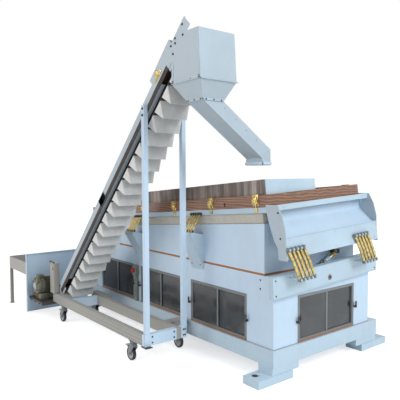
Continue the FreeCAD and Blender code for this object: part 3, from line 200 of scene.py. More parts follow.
def paint(name, colour, roughness=0.42, dust=0.12):
    """Sprayed paint: soft clouds of tone, dust settled in blotches, fine orange peel."""
    surface = Surface(name, colour, roughness)
    clouds = surface.noise(1.7, 5, 0.65)
    tone = surface.mix(surface.level(clouds, 0, 1), shade(colour, 0.93), shade(colour, 1.05))
    streaks = surface.noise(3.0, 6, 0.7, stretch=(3, 3, 0.5))
    dusty = surface.mix(surface.level(streaks, 0, dust, 0.45, 0.8), tone, (0.42, 0.37, 0.30))
    surface.set_colour(dusty)
    surface.set_roughness(surface.level(clouds, roughness - 0.08, roughness + 0.12))
    surface.bump(surface.noise(420, 2, 0.5), 0.12, 0.0004)
    surface.bump(surface.noise(2.2, 3, 0.5), 0.25, 0.004)
    return surface.material


def plated(name, colour):
    """Yellow zinc plate: metal with a slight drift of hue and a dulled grain."""
    surface = Surface(name, colour, 0.32, 1.0)
    drift = surface.noise(38, 3, 0.6)
    hue = surface.ramp(drift, ((0.3, shade(colour, 0.55)), (0.5, colour), (0.62, shade(colour, 1.35)),
                               (0.75, (0.50, 0.30, 0.16))))
    surface.set_colour(hue)
    surface.set_roughness(surface.level(surface.noise(90, 4, 0.7), 0.22, 0.48))
    surface.bump(surface.noise(240, 3, 0.6), 0.2, 0.0004)
    return surface.material


def steel(name, colour, roughness=0.35, grain=(9, 9, 0.3)):
    """Brushed stainless steel: upright grain streaks, the bright ones painted highlights, with smears and dulled
    patches.
    """
    surface = Surface(name, colour, roughness, 1.0)
    grain_and_highlight_streaks = surface.noise(1.6, 4, 0.7, stretch=grain)
    smear = surface.noise(4, 5, 0.7)
    # The dark streaks are brushed grain; the bright streaks at 2.4 times the colour are painted highlights, upright
    # reflections painted into the colour.
    tone = surface.mix(surface.level(grain_and_highlight_streaks, 0, 1, 0.42, 0.68), shade(colour, 0.8), shade(colour, 2.4))
    surface.set_colour(surface.mix(surface.level(smear, 0, 0.35), tone, (0.17, 0.12, 0.09)))
    surface.set_roughness(surface.level(smear, roughness - 0.08, roughness + 0.18))
    surface.bump(grain_and_highlight_streaks, 0.15, 0.0005)
    return surface.material


def dark_metal(name, colour, roughness=0.55, metallic=0.6):
    """Cast or blackened steel with rust-brown blotches."""
    surface = Surface(name, colour, roughness, metallic)
    blotch = surface.noise(14, 6, 0.7)
    surface.set_colour(surface.ramp(blotch, ((0.35, shade(colour, 0.7)), (0.5, colour), (0.68, shade(colour, 1.5)),
                                             (0.8, (0.16, 0.09, 0.05)))))
    surface.set_roughness(surface.level(blotch, roughness - 0.12, roughness + 0.15))
    surface.bump(surface.noise(180, 4, 0.7), 0.35, 0.0006)
    return surface.material


def wood(name, colour):
    """Varnished boards: long grain bands along the deck, pores and darker knots."""
    surface = Surface(name, colour, 0.3)
    bands = surface.wave(5.5, "Z", 6.0, stretch=(0.35, 1, 2.4))
    fibre = surface.noise(26, 8, 0.72, stretch=(0.35, 5, 8))
    stripe = surface.mix(surface.level(bands, 0, 1, 0.1, 0.9), shade(colour, 0.62), shade(colour, 1.55))
    grained = surface.mix(surface.level(fibre, 0.0, 0.75, 0.35, 0.7), stripe, shade(colour, 0.5))
    knots = surface.noise(3.2, 3, 0.5, stretch=(0.6, 1, 1.6))
    surface.set_colour(surface.mix(surface.level(knots, 0, 0.55, 0.6, 0.75), grained, shade(colour, 0.3)))
    surface.set_roughness(surface.level(fibre, 0.24, 0.42))
    surface.bump(fibre, 0.25, 0.0006)
    surface.shader.inputs["Coat Weight"].default_value = 0.35
    surface.shader.inputs["Coat Roughness"].default_value = 0.2
    return surface.material


def cloth(name, colour):
    """Canvas: crossed threads, faint stains and broad sun-bleached clouds."""
    surface = Surface(name, colour, 0.9)
    warp = surface.wave(320, "X")
    weft = surface.wave(320, "Z")
    weave = surface.mix(0.5, warp, weft, "MULTIPLY")
    stain = surface.noise(5, 6, 0.7)
    tone = surface.mix(surface.level(stain, 0, 0.55), colour, shade(colour, 0.72))
    surface.set_colour(surface.mix(0.22, tone, weave, "MULTIPLY"))
    surface.bump(weave, 0.5, 0.0006)
    surface.shader.inputs["Sheen Weight"].default_value = 0.25
    return surface.material


def moulded(name, colour, roughness=0.5, grit=0.25, speckle=None):
    """Rubber or plastic: fine moulded grain with scuffs and dust."""
    surface = Surface(name, colour, roughness)
    scuff = surface.noise(11, 6, 0.7)
    tone = surface.mix(surface.level(scuff, 0, 1, 0.25, 0.75), shade(colour, 0.86), shade(colour, 1.1))
    if speckle:
        tone = surface.mix(surface.level(surface.noise(60, 3, 0.6), 0, 0.5, 0.6, 0.7), tone, speckle)
    surface.set_colour(tone)
    surface.set_roughness(surface.level(scuff, roughness - 0.1, roughness + 0.15))
    surface.bump(surface.noise(300, 3, 0.6), grit, 0.0004)
    return surface.material


def tinted_glass(name):
    """Dark window glass, a little dusty, with the cabinet's dim inside showing through."""
    surface = Surface(name, (0.045, 0.048, 0.052), 0.08)
    dust = surface.noise(6, 6, 0.7, stretch=(1, 1, 0.5))
    surface.set_colour(surface.mix(surface.level(dust, 0, 0.5, 0.45, 0.8), (0.065, 0.069, 0.073), (0.19, 0.19, 0.18)))
    surface.set_roughness(surface.level(dust, 0.04, 0.3))
    surface.shader.inputs["Alpha"].default_value = 0.82
    return surface.material


FINISHES = {}
# Nodes that the photograph shows in another finish than the sheet's own
SEEN_FINISHES = {"trough_pan": "blue_white_paint", "deck_screen": "stainless_steel", "elevator_sides": "grey_paint"}


def make_finishes(colours):
    """One material for each of the record's slots, and some for the hardware alone."""
    FINISHES.update({
        "blue_white_paint": paint("PanelPaint", tuple(colours.panel_paint), 0.38),
        "white_paint": paint("WhitePaint", tuple(colours.white_paint), 0.42, 0.16),
        "grey_paint": paint("SheetPaint", tuple(colours.sheet_paint), 0.4),
        "beige_paint": paint("BeamPaint", tuple(colours.beam_paint), 0.5, 0.3),
        "green_paint": paint("MotorPaint", (0.10, 0.105, 0.065), 0.5, 0.5),
        "dark_frame": paint("FramePaint", (0.19, 0.205, 0.21), 0.4, 0.1),
        "dark_steel": dark_metal("DarkSteel", (0.07, 0.065, 0.06)),
        "gold_plate": plated("YellowZinc", tuple(colours.gold)),
        "stainless_steel": steel("StainlessSteel", (0.15, 0.13, 0.12)),
        "red_brown_wood": wood("VarnishedWood", tuple(colours.wood)),
        "tinted_glass": tinted_glass("TintedGlass"),
        "canvas": cloth("Canvas", tuple(colours.canvas)),
        "orange_rubber": moulded("SealRubber", (0.36, 0.15, 0.05), 0.7, 0.4),
        "brown_rubber": moulded("BeltRubber", (0.035, 0.022, 0.018), 0.7, 0.4),
        "wheel_rubber": moulded("TyreRubber", (0.03, 0.028, 0.028), 0.65, 0.4, (0.12, 0.10, 0.08)),
        "white_plastic": moulded("BucketPlastic", tuple(colours.bucket), 0.42, 0.2, (0.45, 0.40, 0.33)),
        "grey_plastic": moulded("SwitchPlastic", (0.20, 0.235, 0.20), 0.5),
        "red_plastic": moulded("KnobPlastic", (0.52, 0.02, 0.015), 0.25, 0.1),
    })


def finish_solids():
    slots = {part["node"]: part["material_slot"] for part in frame["record"]["subparts"]}
    for name, solid in frame["nodes"].items():
        solid.data.materials.clear()
        solid.data.materials.append(FINISHES[SEEN_FINISHES.get(name, slots[name])])


# Modelling aids: lengths in millimetres of the frame that a piece stands in

X_AXIS, Y_AXIS, Z_AXIS = Vector((1, 0, 0)), Vector((0, 1, 0)), Vector((0, 0, 1))


def facing(place, axis):
    """Matrix that puts local Z along an axis at a place."""
    return Matrix.Translation(place) @ Vector(axis).to_track_quat("Z", "Y").to_matrix().to_4x4()


class Shape:
    """Mesh of one piece under construction."""

    def __init__(self, name, finishes, frame_matrix=ROW):
        self.name = name
        self.finishes = finishes
        self.frame_matrix = frame_matrix
        self.mesh = bmesh.new()

    def dress(self, verts, finish=0, bevel=0.0, segments=2, edges=None):
        """Give new geometry its finish and round its edges."""
        for face in {face for vert in verts for face in vert.link_faces}:
            face.material_index = finish
        if bevel:
            chosen = edges if edges is not None else list({edge for vert in verts for edge in vert.link_edges})
            bmesh.ops.bevel(self.mesh, geom=chosen, offset=bevel, offset_type="OFFSET", segments=segments,
                            profile=0.5, affect="EDGES", material=-1, clamp_overlap=True)

    def block(self, low, high, bevel=1.5, finish=0, turn=Matrix.Identity(4)):
        low, high = Vector(low), Vector(high)
        matrix = turn @ Matrix.Translation((low + high) / 2) @ Matrix.Diagonal((*(high - low), 1))
        made = bmesh.ops.create_cube(self.mesh, size=1, matrix=matrix)
        self.dress(made["verts"], finish, bevel)

    def bar(self, start, end, radius, tip=None, sides=20, bevel=1.0, finish=0):
        start, end = Vector(start), Vector(end)
        matrix = facing((start + end) / 2, end - start)
        made = bmesh.ops.create_cone(self.mesh, cap_ends=True, segments=sides, radius1=radius,
                                     radius2=radius if tip is None else tip, depth=(end - start).length, matrix=matrix)
        rims = [edge for edge in {edge for vert in made["verts"] for edge in vert.link_edges}
                if any(len(face.verts) == sides for face in edge.link_faces)]
        self.dress(made["verts"], finish, bevel, 2, rims)

    def bolt(self, place, axis, radius=9.0, height=6.0, finish=0):
        """Hexagon head on its washer, with the domed end of the shank."""
        place, axis = Vector(place), Vector(axis).normalized()
        self.bar(place, place + axis * 1.6, radius * 1.35, sides=20, bevel=0.4, finish=finish)
        self.bar(place + axis * 1.6, place + axis * (1.6 + height), radius, sides=6, bevel=0.9, finish=finish)
        self.bar(place + axis * (1.6 + height), place + axis * (3.2 + height), radius * 0.5, sides=12, bevel=0.6, finish=finish)

    def turned(self, outline, place, axis, steps=32, finish=0):
        """Outline of (radius, along) pairs spun all the way round an axis."""
        before = set(self.mesh.verts)
        verts = [self.mesh.verts.new((radius, 0, along)) for radius, along in outline]
        edges = [self.mesh.edges.new(pair) for pair in zip(verts, verts[1:])]
        bmesh.ops.spin(self.mesh, geom=verts + edges, cent=(0, 0, 0), axis=(0, 0, 1), angle=2 * math.pi,
                       steps=steps, use_merge=True, use_duplicate=False)
        made = [vert for vert in self.mesh.verts if vert not in before]
        bmesh.ops.remove_doubles(self.mesh, verts=made, dist=0.001)
        made = [vert for vert in self.mesh.verts if vert not in before]
        bmesh.ops.transform(self.mesh, matrix=facing(place, axis), verts=made)
        self.dress(made, finish)

    def plate(self, outline, thickness, matrix, bevel=0.8, finish=0):
        """Flat plate cut to an outline and padded along the matrix's Z."""
        verts = [self.mesh.verts.new((across, up, 0)) for across, up in outline]
        face = self.mesh.faces.new(verts)
        made = bmesh.ops.extrude_face_region(self.mesh, geom=[face])
        raised = [item for item in made["geom"] if isinstance(item, bmesh.types.BMVert)]
        bmesh.ops.translate(self.mesh, verts=raised, vec=(0, 0, thickness))
        bmesh.ops.transform(self.mesh, matrix=matrix, verts=verts + raised)
        self.dress(verts + raised, finish, bevel)

    def weld(self, start, end, radius=2.2, finish=0):
        """Rippled bead along a seam."""
        start, end = Vector(start), Vector(end)
        count = max(3, int((end - start).length / 7))
        matrix = facing((start + end) / 2, end - start)
        made = bmesh.ops.create_grid(self.mesh, x_segments=count, y_segments=8, size=0.5)
        length = (end - start).length
        for vert in made["verts"]:
            angle = (vert.co.y + 0.5) * 2 * math.pi
            ripple = radius * (1 + 0.18 * math.cos(vert.co.x * count * math.pi * 2))
            vert.co = matrix @ Vector((ripple * math.cos(angle), ripple * math.sin(angle), vert.co.x * length))
        bmesh.ops.remove_doubles(self.mesh, verts=made["verts"], dist=0.01)

    def finish(self, body=MACHINE, replaced=(), slot=None, sharp=32.0):
        """Object at the origin with its place in its mesh, riding on a body."""
        bmesh.ops.recalc_face_normals(self.mesh, faces=self.mesh.faces[:])
        bmesh.ops.transform(self.mesh, matrix=self.frame_matrix @ Matrix.Scale(MM, 4), verts=self.mesh.verts[:])
        data = bpy.data.meshes.new(self.name)
        self.mesh.to_mesh(data)
        self.mesh.free()
        data.shade_smooth()
        data.set_sharp_from_angle(angle=math.radians(sharp))
        for finish in self.finishes:
            data.materials.append(FINISHES[finish])
        piece = bpy.data.objects.new(self.name, data)
        bpy.context.scene.collection.objects.link(piece)
        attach(piece, body)
        if replaced:
            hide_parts(*replaced)
        return piece


# Sizes of the machine that the pieces are fitted to, in millimetres

BASE_FRONT, CABINET_FRONT, CABINET_BACK = -703.0, -683.0, 592.0
CABINET_END, CABINET_TOP, RAIL_TOP = 1555.0, 836.5, 262.0
DECK_HALF_LENGTH, DECK_HALF_WIDTH = 1505.0, 600.0
BOARD_LOW, BOARD_TOP, BOARD_THICKNESS = 45.0, 145.0, 30.0
CHANNEL_NEAR, CHANNEL_FAR, ELEVATOR_Y = -1266.0, -918.0, -1092.0
BEAM_LOW, BEAM_TOP = 190.0, 290.0
SLOPE, FALL = math.radians(4.745), math.radians(2.862)


def deck_place(along, across, up):
    """Place in the row's frame of a point in the deck's frame, both in mm."""
    return (DECK @ (Vector((along, across, up)) * MM)) / MM


# Bucket elevator

BUCKET_COUNT, DRUM_SPACING, BELT_RADIUS = 42, 3040.0, 45.0


def loop_place(distance):
    """Matrix of the belt's face at a distance along its loop."""
    half_turn = math.pi * BELT_RADIUS
    if distance < DRUM_SPACING:
        return Matrix.Translation((distance, 0, BELT_RADIUS))
    if distance < DRUM_SPACING + half_turn:
        turn = Matrix.Rotation((distance - DRUM_SPACING) / BELT_RADIUS, 4, "Y")
        return Matrix.Translation((DRUM_SPACING, 0, 0)) @ turn @ Matrix.Translation((0, 0, BELT_RADIUS))
    if distance < 2 * DRUM_SPACING + half_turn:
        return Matrix.Translation((2 * DRUM_SPACING + half_turn - distance, 0, -BELT_RADIUS)) @ Matrix.Rotation(math.pi, 4, "Y")
    turn = Matrix.Rotation(math.pi + (distance - 2 * DRUM_SPACING - half_turn) / BELT_RADIUS, 4, "Y")
    return turn @ Matrix.Translation((0, 0, BELT_RADIUS))


def bucket_shell(foot=120.0, lean=20.0, reach=100.0, half=150.0, tip_half=120.0, sheet=3.0):
    """Moulded bucket: rounded corners, ends that narrow to a rolled lip, two belt bolts."""
    shape = bmesh.new()
    made = bmesh.ops.create_cube(shape, size=1)
    for vert in made["verts"]:
        side = 1 if vert.co.y > 0 else -1
        if vert.co.z < 0:
            vert.co = Vector((0.5 if vert.co.x < 0 else foot, side * (half - 0.5), 0.3))
        else:
            vert.co = Vector((lean - 5 if vert.co.x < 0 else lean, side * tip_half, reach - 0.5))
    mouth = min(shape.faces, key=lambda face: face.calc_center_median().x)
    top = max(shape.faces, key=lambda face: face.calc_center_median().z)
    bmesh.ops.delete(shape, geom=[mouth, top], context="FACES_ONLY")
    corners = [edge for edge in shape.edges if len(edge.link_faces) == 2]
    bmesh.ops.bevel(shape, geom=corners, offset=9, offset_type="OFFSET", segments=4, profile=0.5,
                    affect="EDGES", material=-1, clamp_overlap=True)
    bmesh.ops.recalc_face_normals(shape, faces=shape.faces[:])
    bmesh.ops.solidify(shape, geom=shape.faces[:], thickness=sheet)
    return shape


def make_buckets():
    shape = Shape("ElevatorBuckets", ["white_plastic", "dark_steel"], INCLINE)
    template = bucket_shell()
    mesh = bpy.data.meshes.new("BucketTemplate")
    template.to_mesh(mesh)
    template.free()
    loop = 2 * DRUM_SPACING + 2 * math.pi * BELT_RADIUS
    back = Matrix.Translation((60, 0, 0)) @ Matrix.Rotation(math.pi, 4, "Z")
    for index in range(BUCKET_COUNT):
        place = loop_place((index + 0.5) * loop / BUCKET_COUNT) @ back
        before = set(shape.mesh.verts)
        shape.mesh.from_mesh(mesh)
        bmesh.ops.transform(shape.mesh, matrix=place, verts=[vert for vert in shape.mesh.verts if vert not in before])
        lip = [place @ Vector((18.5, side * 117, 97.5)) for side in (-1, 1)]
        shape.bar(lip[0], lip[1], 2.6, sides=8, bevel=0)
        for side in (-1, 1):
            foot = place @ Vector((38, side * 75, 3.4))
            shape.bar(foot, foot + (place.to_3x3() @ Z_AXIS) * 3.5, 8, tip=5, sides=12, bevel=0.5, finish=1)
    bpy.data.meshes.remove(mesh)
    shape.finish(replaced=["buckets"], slot="white_plastic", sharp=40)


def make_elevator_hardware():
    """Splices, bolts, latch and rollers' nuts on the elevator's two channels, and dark strips of painted shade under
    them.
    """
    shape = Shape("ElevatorHardware", ["grey_paint", "dark_steel", "gold_plate"], INCLINE)
    near, far = -174.0, 174.0
    for face, sign in ((near, -1), (far, 1)):
        axis = Y_AXIS * sign
        for splice in (1437.0, 2560.0 if sign > 0 else 1437.0):
            shape.block((splice - 70, min(face, face + 4 * sign), 14), (splice + 70, max(face, face + 4 * sign), 94), 1.2)
            for across in (-45, 45):
                for up in (32, 76):
                    shape.bolt((splice + across, face + 4 * sign, up), axis, 9, 6, finish=1)
        for along, up in ((-170, 30), (-170, 80), (-40, 84)):
            shape.bolt((along, face, up), axis, 7, 5, finish=1)
    for along, up in ((3132, 92), (3106, 28), (3180, 60), (3205, 88), (3279, 22), (3330, 82)):
        shape.bolt((along, near, up), -Y_AXIS, 7, 5, finish=1)
    for side in (-1, 1):
        face = side * 174.0
        low, high = sorted((face, face + 5 * side))
        shape.block((2800, low, 70), (2920, high, 96), 1.5, 2)
        shape.block((2845, low, 96), (2880, high + (3 if side > 0 else 0), 138), 1.5, 2)
        shape.bar((2815, face + 8 * side, 84), (2905, face + 8 * side, 84), 6, sides=12, finish=2)
    shape.finish(slot="grey_paint")
    edging = Shape("ChannelEdging", ["grey_paint"], INCLINE)
    for side, end in ((-1, 3381), (1, 3161)):
        edging.bar((-215, side * 160.5, 103), (end, side * 160.5, 103), 2.4, sides=10, bevel=0.6)
        edging.bar((-215, side * 173.4, 104.3), (end, side * 173.4, 104.3), 1.2, sides=8, bevel=0)
    edging.finish(slot="grey_paint")
    # Dark strips along the lower edge of both channels: painted shade of the shadowed recess under each web, where the
    # belt runs.
    band = Shape("PaintedShadeBands", ["brown_rubber"], INCLINE)
    for side in (-1, 1):
        low, high = sorted((side * 174.0, side * 176.0))
        band.block((-60, low, -4), (2990, high, 44), 0.6)
    band.finish(slot="brown_rubber")


def make_head_hardware():
    """Flanges, folded rims and bolts of the hood, its funnel and the feed chute."""
    shape = Shape("HeadHardware", ["grey_paint", "dark_steel", "blue_white_paint"])
    bottom, roof, left = 2338.0, 2705.0, 1030.0
    for y, sign in ((CHANNEL_NEAR, -1), (CHANNEL_FAR, 1)):
        low, high = sorted((y, y + 2.5 * sign))
        shape.block((left + 2, low, bottom), (1389, high, bottom + 24), 0.8)
        shape.block((left + 2, low, bottom), (left + 26, high, 2500), 0.8)
        shape.plate(((0, 0), (24, 0), (24, 362), (0, 362)), 2.5,
                    Matrix.Translation((1363, high if sign > 0 else low, bottom)) @ Matrix.Rotation(math.radians(90), 4, "X")
                    @ Matrix.Rotation(math.radians(3.9), 4, "Z") @ Matrix.Translation((0, 0, -2.5 if sign < 0 else 0)))
        for along in (left + 14, left + 240, 1376):
            shape.bolt((along, y + 2.5 * sign, bottom + 12), Y_AXIS * sign, 4.5, 3)
    for low, high in (((left, CHANNEL_NEAR - 9, bottom - 4), (1400, CHANNEL_NEAR, bottom)),
                      ((left, CHANNEL_FAR, bottom - 4), (1400, CHANNEL_FAR + 9, bottom)),
                      ((1391, CHANNEL_NEAR - 9, bottom - 4), (1400, CHANNEL_FAR + 9, bottom))):
        shape.block(low, high, 0.8)
    for y in (-1160, -1085, -1010):
        shape.bolt((1321, y, 2204), X_AXIS, 5, 3.5, finish=1)
    for y, up in ((-968, 2150), (-854, 2072), (-742, 1994), (-631, 1918), (-503, 1830)):
        shape.bolt((1313, y, up), X_AXIS, 4.5, 3)
        shape.bolt((1120, y, up), -X_AXIS, 4.5, 3)
    for low, high in (((1112, -564, 1722), (1321, -559, 1744)), ((1112, -471, 1722), (1321, -466, 1744)),
                      ((1112, -564, 1722), (1119.5, -466, 1744)), ((1313.5, -564, 1722), (1321, -466, 1744))):
        shape.block(low, high, 0.8, 2)
    for low, high in (((1112, -1190, 2196), (1321, -1183.5, 2212)), ((1313.5, -1190, 2196), (1321, -981, 2212)),
                      ((1112, -1190, 2196), (1119.5, -981, 2212))):
        shape.block(low, high, 0.8)
    for along in (1140, 1216, 1293):
        shape.bolt((along, -1190, 2204), -Y_AXIS, 5, 3.5, finish=1)
    shape.finish(slot="grey_paint")


def make_stand_hardware():
    """Post feet, gussets, bracket bolts and the jack foot of the elevator's ground frame."""
    shape = Shape("StandHardware", ["blue_white_paint", "dark_steel", "beige_paint"])
    shape.block((641, -1319, 186), (685, -1316, 292), 0.8)
    shape.block((680, -1319, 186), (683.5, -1266, 292), 0.8)
    shape.block((636, -1330, 184), (722, -1262, 189.7), 1, 1)
    shape.block((641, -1312, 290), (685, -1262, 296), 1)
    shape.block((639, -920, 290), (687, -872, 296), 1)
    for y in (-918, -900):
        for up in (215, 265):
            shape.bolt((680, y + 6, up), X_AXIS, 6, 4.5, finish=1)
    for y in (-1240, -1014):
        for up in (215, 265):
            shape.bolt((680, y, up), X_AXIS, 6, 4.5, finish=1)
    for x, y in ((663, -1306), (663, -878)):
        sign = -1 if y < -1000 else 1
        shape.bolt((x, y, 2190), Y_AXIS * sign, 9, 6, finish=1)
        shape.bolt((x, y, 2135), Y_AXIS * sign, 9, 6, finish=1)
    for x, y in ((643, -1306), (683, -1306), (643, -878), (683, -878)):
        shape.weld((x, y, 296.5), (x, y + (38 if y < -1000 else -38), 296.5), finish=0)
    shape.finish(slot="blue_white_paint")
    seams = Shape("BeamSeams", ["beige_paint", "dark_steel", "dark_frame"])
    for start, end in (((-895, -1266, 288), (-845, -1266, 288)), ((630, -1266, 288), (680, -1266, 288)),
                       ((-895, -987, 288), (-845, -987, 288)), ((630, -987, 288), (680, -987, 288))):
        seams.weld(start, end)
    seams.block((-1303, -1317, 189), (-1299.8, -1265, 291), 0.8)
    for up in (206, 238, 272):
        seams.block((-1300, -1317.6, up), (636, -1316, up + 3), 0.6, 2)
    for x, y in ((450, -1291), (-1050, -1291), (450, -776), (-1050, -897)):
        for dx in (-34, 34):
            for dy in (-15, 15):
                seams.bar((x + dx, y + dy, 176), (x + dx, y + dy, 184), 6, sides=6, bevel=0.8, finish=1)
    seams.finish(slot="beige_paint")


CASTERS = {"front_right": (450.0, -1291.0), "front_left": (-1050.0, -1291.0),
           "rear_right": (450.0, -776.0), "rear_left": (-1050.0, -897.0)}


def make_casters():
    for name, (x, y) in CASTERS.items():
        title = "".join(word.capitalize() for word in name.split("_"))
        axle_x, axle_z = x - 35, 62.5
        fork = Shape("Fork" + title, ["dark_frame", "gold_plate", "white_paint"])
        fork.turned(((0, 0), (32, 0), (33, 2), (33, 8), (30, 12), (27, 14), (27, 17), (31, 19), (33, 22), (33, 34),
                     (0, 34)), (x, y, 149.5), Z_AXIS, 36)
        fork.block((x - 34, y - 25, 131), (x + 30, y + 25, 150), 4)
        for side in (-1, 1):
            outline = ((axle_x - x - 17, 46), (axle_x - x + 17, 46), (axle_x - x + 20, 74), (30, 128), (30, 137), (-34, 137),
                       (-38, 128), (axle_x - x - 20, 74))
            at = Matrix.Translation((x, y + side * 25, 0)) @ Matrix.Rotation(math.radians(90), 4, "X")
            fork.plate(outline, 4, at @ Matrix.Translation((0, 0, 0 if side > 0 else -4)), 1.2)
            fork.bar((axle_x, y + side * 25, axle_z), (axle_x, y + side * 31, axle_z), 10, sides=6, bevel=1, finish=1)
            fork.bar((axle_x, y + side * 31, axle_z), (axle_x, y + side * 35, axle_z), 5, sides=12, bevel=0.8, finish=1)
        fork.bar((axle_x, y - 25, axle_z), (axle_x, y + 25, axle_z), 5.2, sides=16, bevel=0)
        if name.startswith("front"):
            fork.block((x - 106, y - 26, 126), (x - 60, y + 26, 131), 1.2, 2)
            fork.block((x - 72, y - 20, 112), (x - 36, y + 20, 115), 1.2, 2)
            fork.bar((x - 72, y - 22, 122), (x - 72, y + 22, 122), 6, sides=14)
        fork.finish("fork_" + name, ["caster_fork_" + name], "dark_frame")
        wheel = Shape("Wheel" + title, ["wheel_rubber", "grey_paint"])
        wheel.turned(((46, -13), (52, -16), (58, -15), (61, -12), (62.3, -7), (62.5, 0), (62.3, 7), (61, 12), (58, 15), (52, 16),
                      (46, 13), (46, -13)), (axle_x, y, axle_z), Y_AXIS, 48)
        wheel.turned(((6.2, -16), (13, -16), (15, -14), (17, -9), (30, -6), (42, -8), (44, -13), (46.5, -13), (46.5, 13), (44, 13),
                      (42, 8), (30, 6), (17, 9), (15, 14), (13, 16), (6.2, 16), (6.2, -16)),
                     (axle_x, y, axle_z), Y_AXIS, 40, 1)
        wheel.finish("wheel_" + name, ["caster_wheel_" + name], "wheel_rubber")


# Deck, trough and springs

def make_clamps():
    """Plated hooks over the deck's boards, each with a star-shaped hand nut."""
    shape = Shape("DeckClamps", ["gold_plate", "white_paint", "dark_steel"], DECK)
    for side in (-1, 1):
        face = side * DECK_HALF_WIDTH
        for index in range(4):
            x = -316.0 + 565.0 * index
            low, high = sorted((face, face + 6 * side))
            shape.block((x - 32, low, 58), (x + 32, high, 151), 1.5)
            low, high = sorted((face + 6 * side, face - 30 * side))
            shape.block((x - 32, low, 145.3), (x + 32, high, 151), 1.5)
            reach = (24.0, 40.0)
            star = [(reach[step % 2] * math.cos(step * math.pi / 8), reach[step % 2] * math.sin(step * math.pi / 8))
                    for step in range(16)]
            at = facing((x, face + 8 * side, 95), Y_AXIS * side)
            shape.plate(star, 11, at, 2.5)
            shape.turned(((0, 12), (9, 11), (12, 7), (13, 0), (0, 0)), (x, face + 18 * side, 95), Y_AXIS * side, 24)
            low, high = sorted((face, face + 9 * side))
            shape.block((x - 15, low, 8), (x + 15, high, 40), 1.5)
            shape.bar((x, face + 5 * side, 40), (x, face + 5 * side, 60), 4.5, sides=12)
            shape.bolt((x, face + 9 * side, 24), Y_AXIS * side, 6, 4)
    shape.finish(replaced=["deck_clamps"], slot="gold_plate")


def make_board_hardware():
    """Edging, end battens and screws of the deck's wooden boards."""
    shape = Shape("BoardHardware", ["red_brown_wood", "dark_steel", "stainless_steel"], DECK)
    length, width = DECK_HALF_LENGTH, DECK_HALF_WIDTH
    for x in range(-1440, 1500, 180):
        for side in (-1, 1):
            for up in (66, 124):
                shape.bar((x, side * (width + 1.2), up), (x, side * (width - 1), up), 4.2, tip=3.4, sides=12, bevel=0.4, finish=1)
    for y in range(-540, 560, 180):
        for side in (-1, 1):
            for up in (66, 124):
                shape.bar((side * (length + 1.2), y, up), (side * (length - 1), y, up), 4.2, tip=3.4, sides=12, bevel=0.4, finish=1)
    for x in range(-430, 1470, 190):
        shape.bar((x, -width + BOARD_THICKNESS - 1.6, 205), (x, -width + BOARD_THICKNESS + 1, 205), 5, tip=4, sides=12,
                  bevel=0.4, finish=2)
    shape.finish(slot="red_brown_wood")
    rails = Shape("DeckRailLips", ["white_paint", "dark_steel"], DECK)
    for side in (-1, 1):
        low, high = sorted((side * width, side * (width + 3)))
        rails.block((-length, low, 0.5), (length, high, 8), 1)
        rails.block((-length, low, 38), (length, high, 44.5), 1)
    for side in (-1, 1):
        low, high = sorted((side * length, side * (length + 3)))
        if side < 0:
            rails.block((low, -width, 0.5), (high, width, 8), 1)
            rails.block((low, -width, 38), (high, width, 44.5), 1)
    rails.finish(slot="white_paint")


def make_sleeve():
    """Canvas band between the air chest and the deck, gathered in soft folds."""
    random.seed(11)
    left, right, half, low, high = -1490.0, 1434.0, 590.0, -83.0, -0.6
    runs = [((left, -half), (right, -half)), ((right, -half), (right, half)), ((right, half), (left, half)), ((left, half), (left, -half))]
    path = []
    for (x0, y0), (x1, y1) in runs:
        length = math.hypot(x1 - x0, y1 - y0)
        steps = int(length / 12)
        for step in range(steps):
            part = step / steps
            path.append((x0 + (x1 - x0) * part, y0 + (y1 - y0) * part, (y1 - y0) / length, -(x1 - x0) / length,
                         min(part, 1 - part) * length))
    phase = [random.uniform(0, 2 * math.pi) for _ in range(6)]
    band = bmesh.new()
    made = bmesh.ops.create_grid(band, x_segments=len(path) - 1, y_segments=14, size=0.5)
    count = len(path)
    for vert in made["verts"]:
        place = int(round((vert.co.x + 0.5) * (count - 1)))
        rise = vert.co.y + 0.5
        x, y, out_x, out_y, corner = path[place]
        along = place * 12.0
        swell = math.sin(math.pi * rise)
        fold = (2.6 * math.sin(along / 61 + phase[0] + 3.1 * rise) + 1.9 * math.sin(along / 23 + phase[1] - 2.0 * rise)
                + 1.3 * math.sin(along / 11 + phase[2] + 5 * rise) + 2.2 * math.sin(2 * math.pi * rise + along / 140 + phase[3]))
        push = swell * (4.5 + fold) * min(1.0, corner / 60)
        vert.co = Vector((x + out_x * push, y + out_y * push, low + (high - low) * rise))
    ends = [vert for vert in band.verts if abs(vert.co.x - left) < 13 and abs(vert.co.y + half) < 13]
    bmesh.ops.remove_doubles(band, verts=ends, dist=0.5)
    bmesh.ops.transform(band, matrix=DECK @ Matrix.Scale(MM, 4), verts=band.verts[:])
    data = bpy.data.meshes.new("CanvasSleeve")
    band.to_mesh(data)
    band.free()
    data.shade_smooth()
    data.materials.append(FINISHES["canvas"])
    piece = bpy.data.objects.new("CanvasSleeve", data)
    bpy.context.scene.collection.objects.link(piece)
    thick = piece.modifiers.new("Thickness", "SOLIDIFY")
    thick.thickness = 0.0014
    thick.offset = -1
    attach(piece, MACHINE)
    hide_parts("canvas_sleeve")
    hems = Shape("SleeveHems", ["canvas", "stainless_steel"], DECK)
    for up in (low + 5, high - 5):
        for (x0, y0), (x1, y1) in runs:
            out = Vector((y1 - y0, -(x1 - x0), 0)).normalized() * 2.0
            hems.bar(Vector((x0, y0, up)) + out, Vector((x1, y1, up)) + out, 2.2, sides=10, bevel=0)
    hem = hems.finish(slot="canvas")


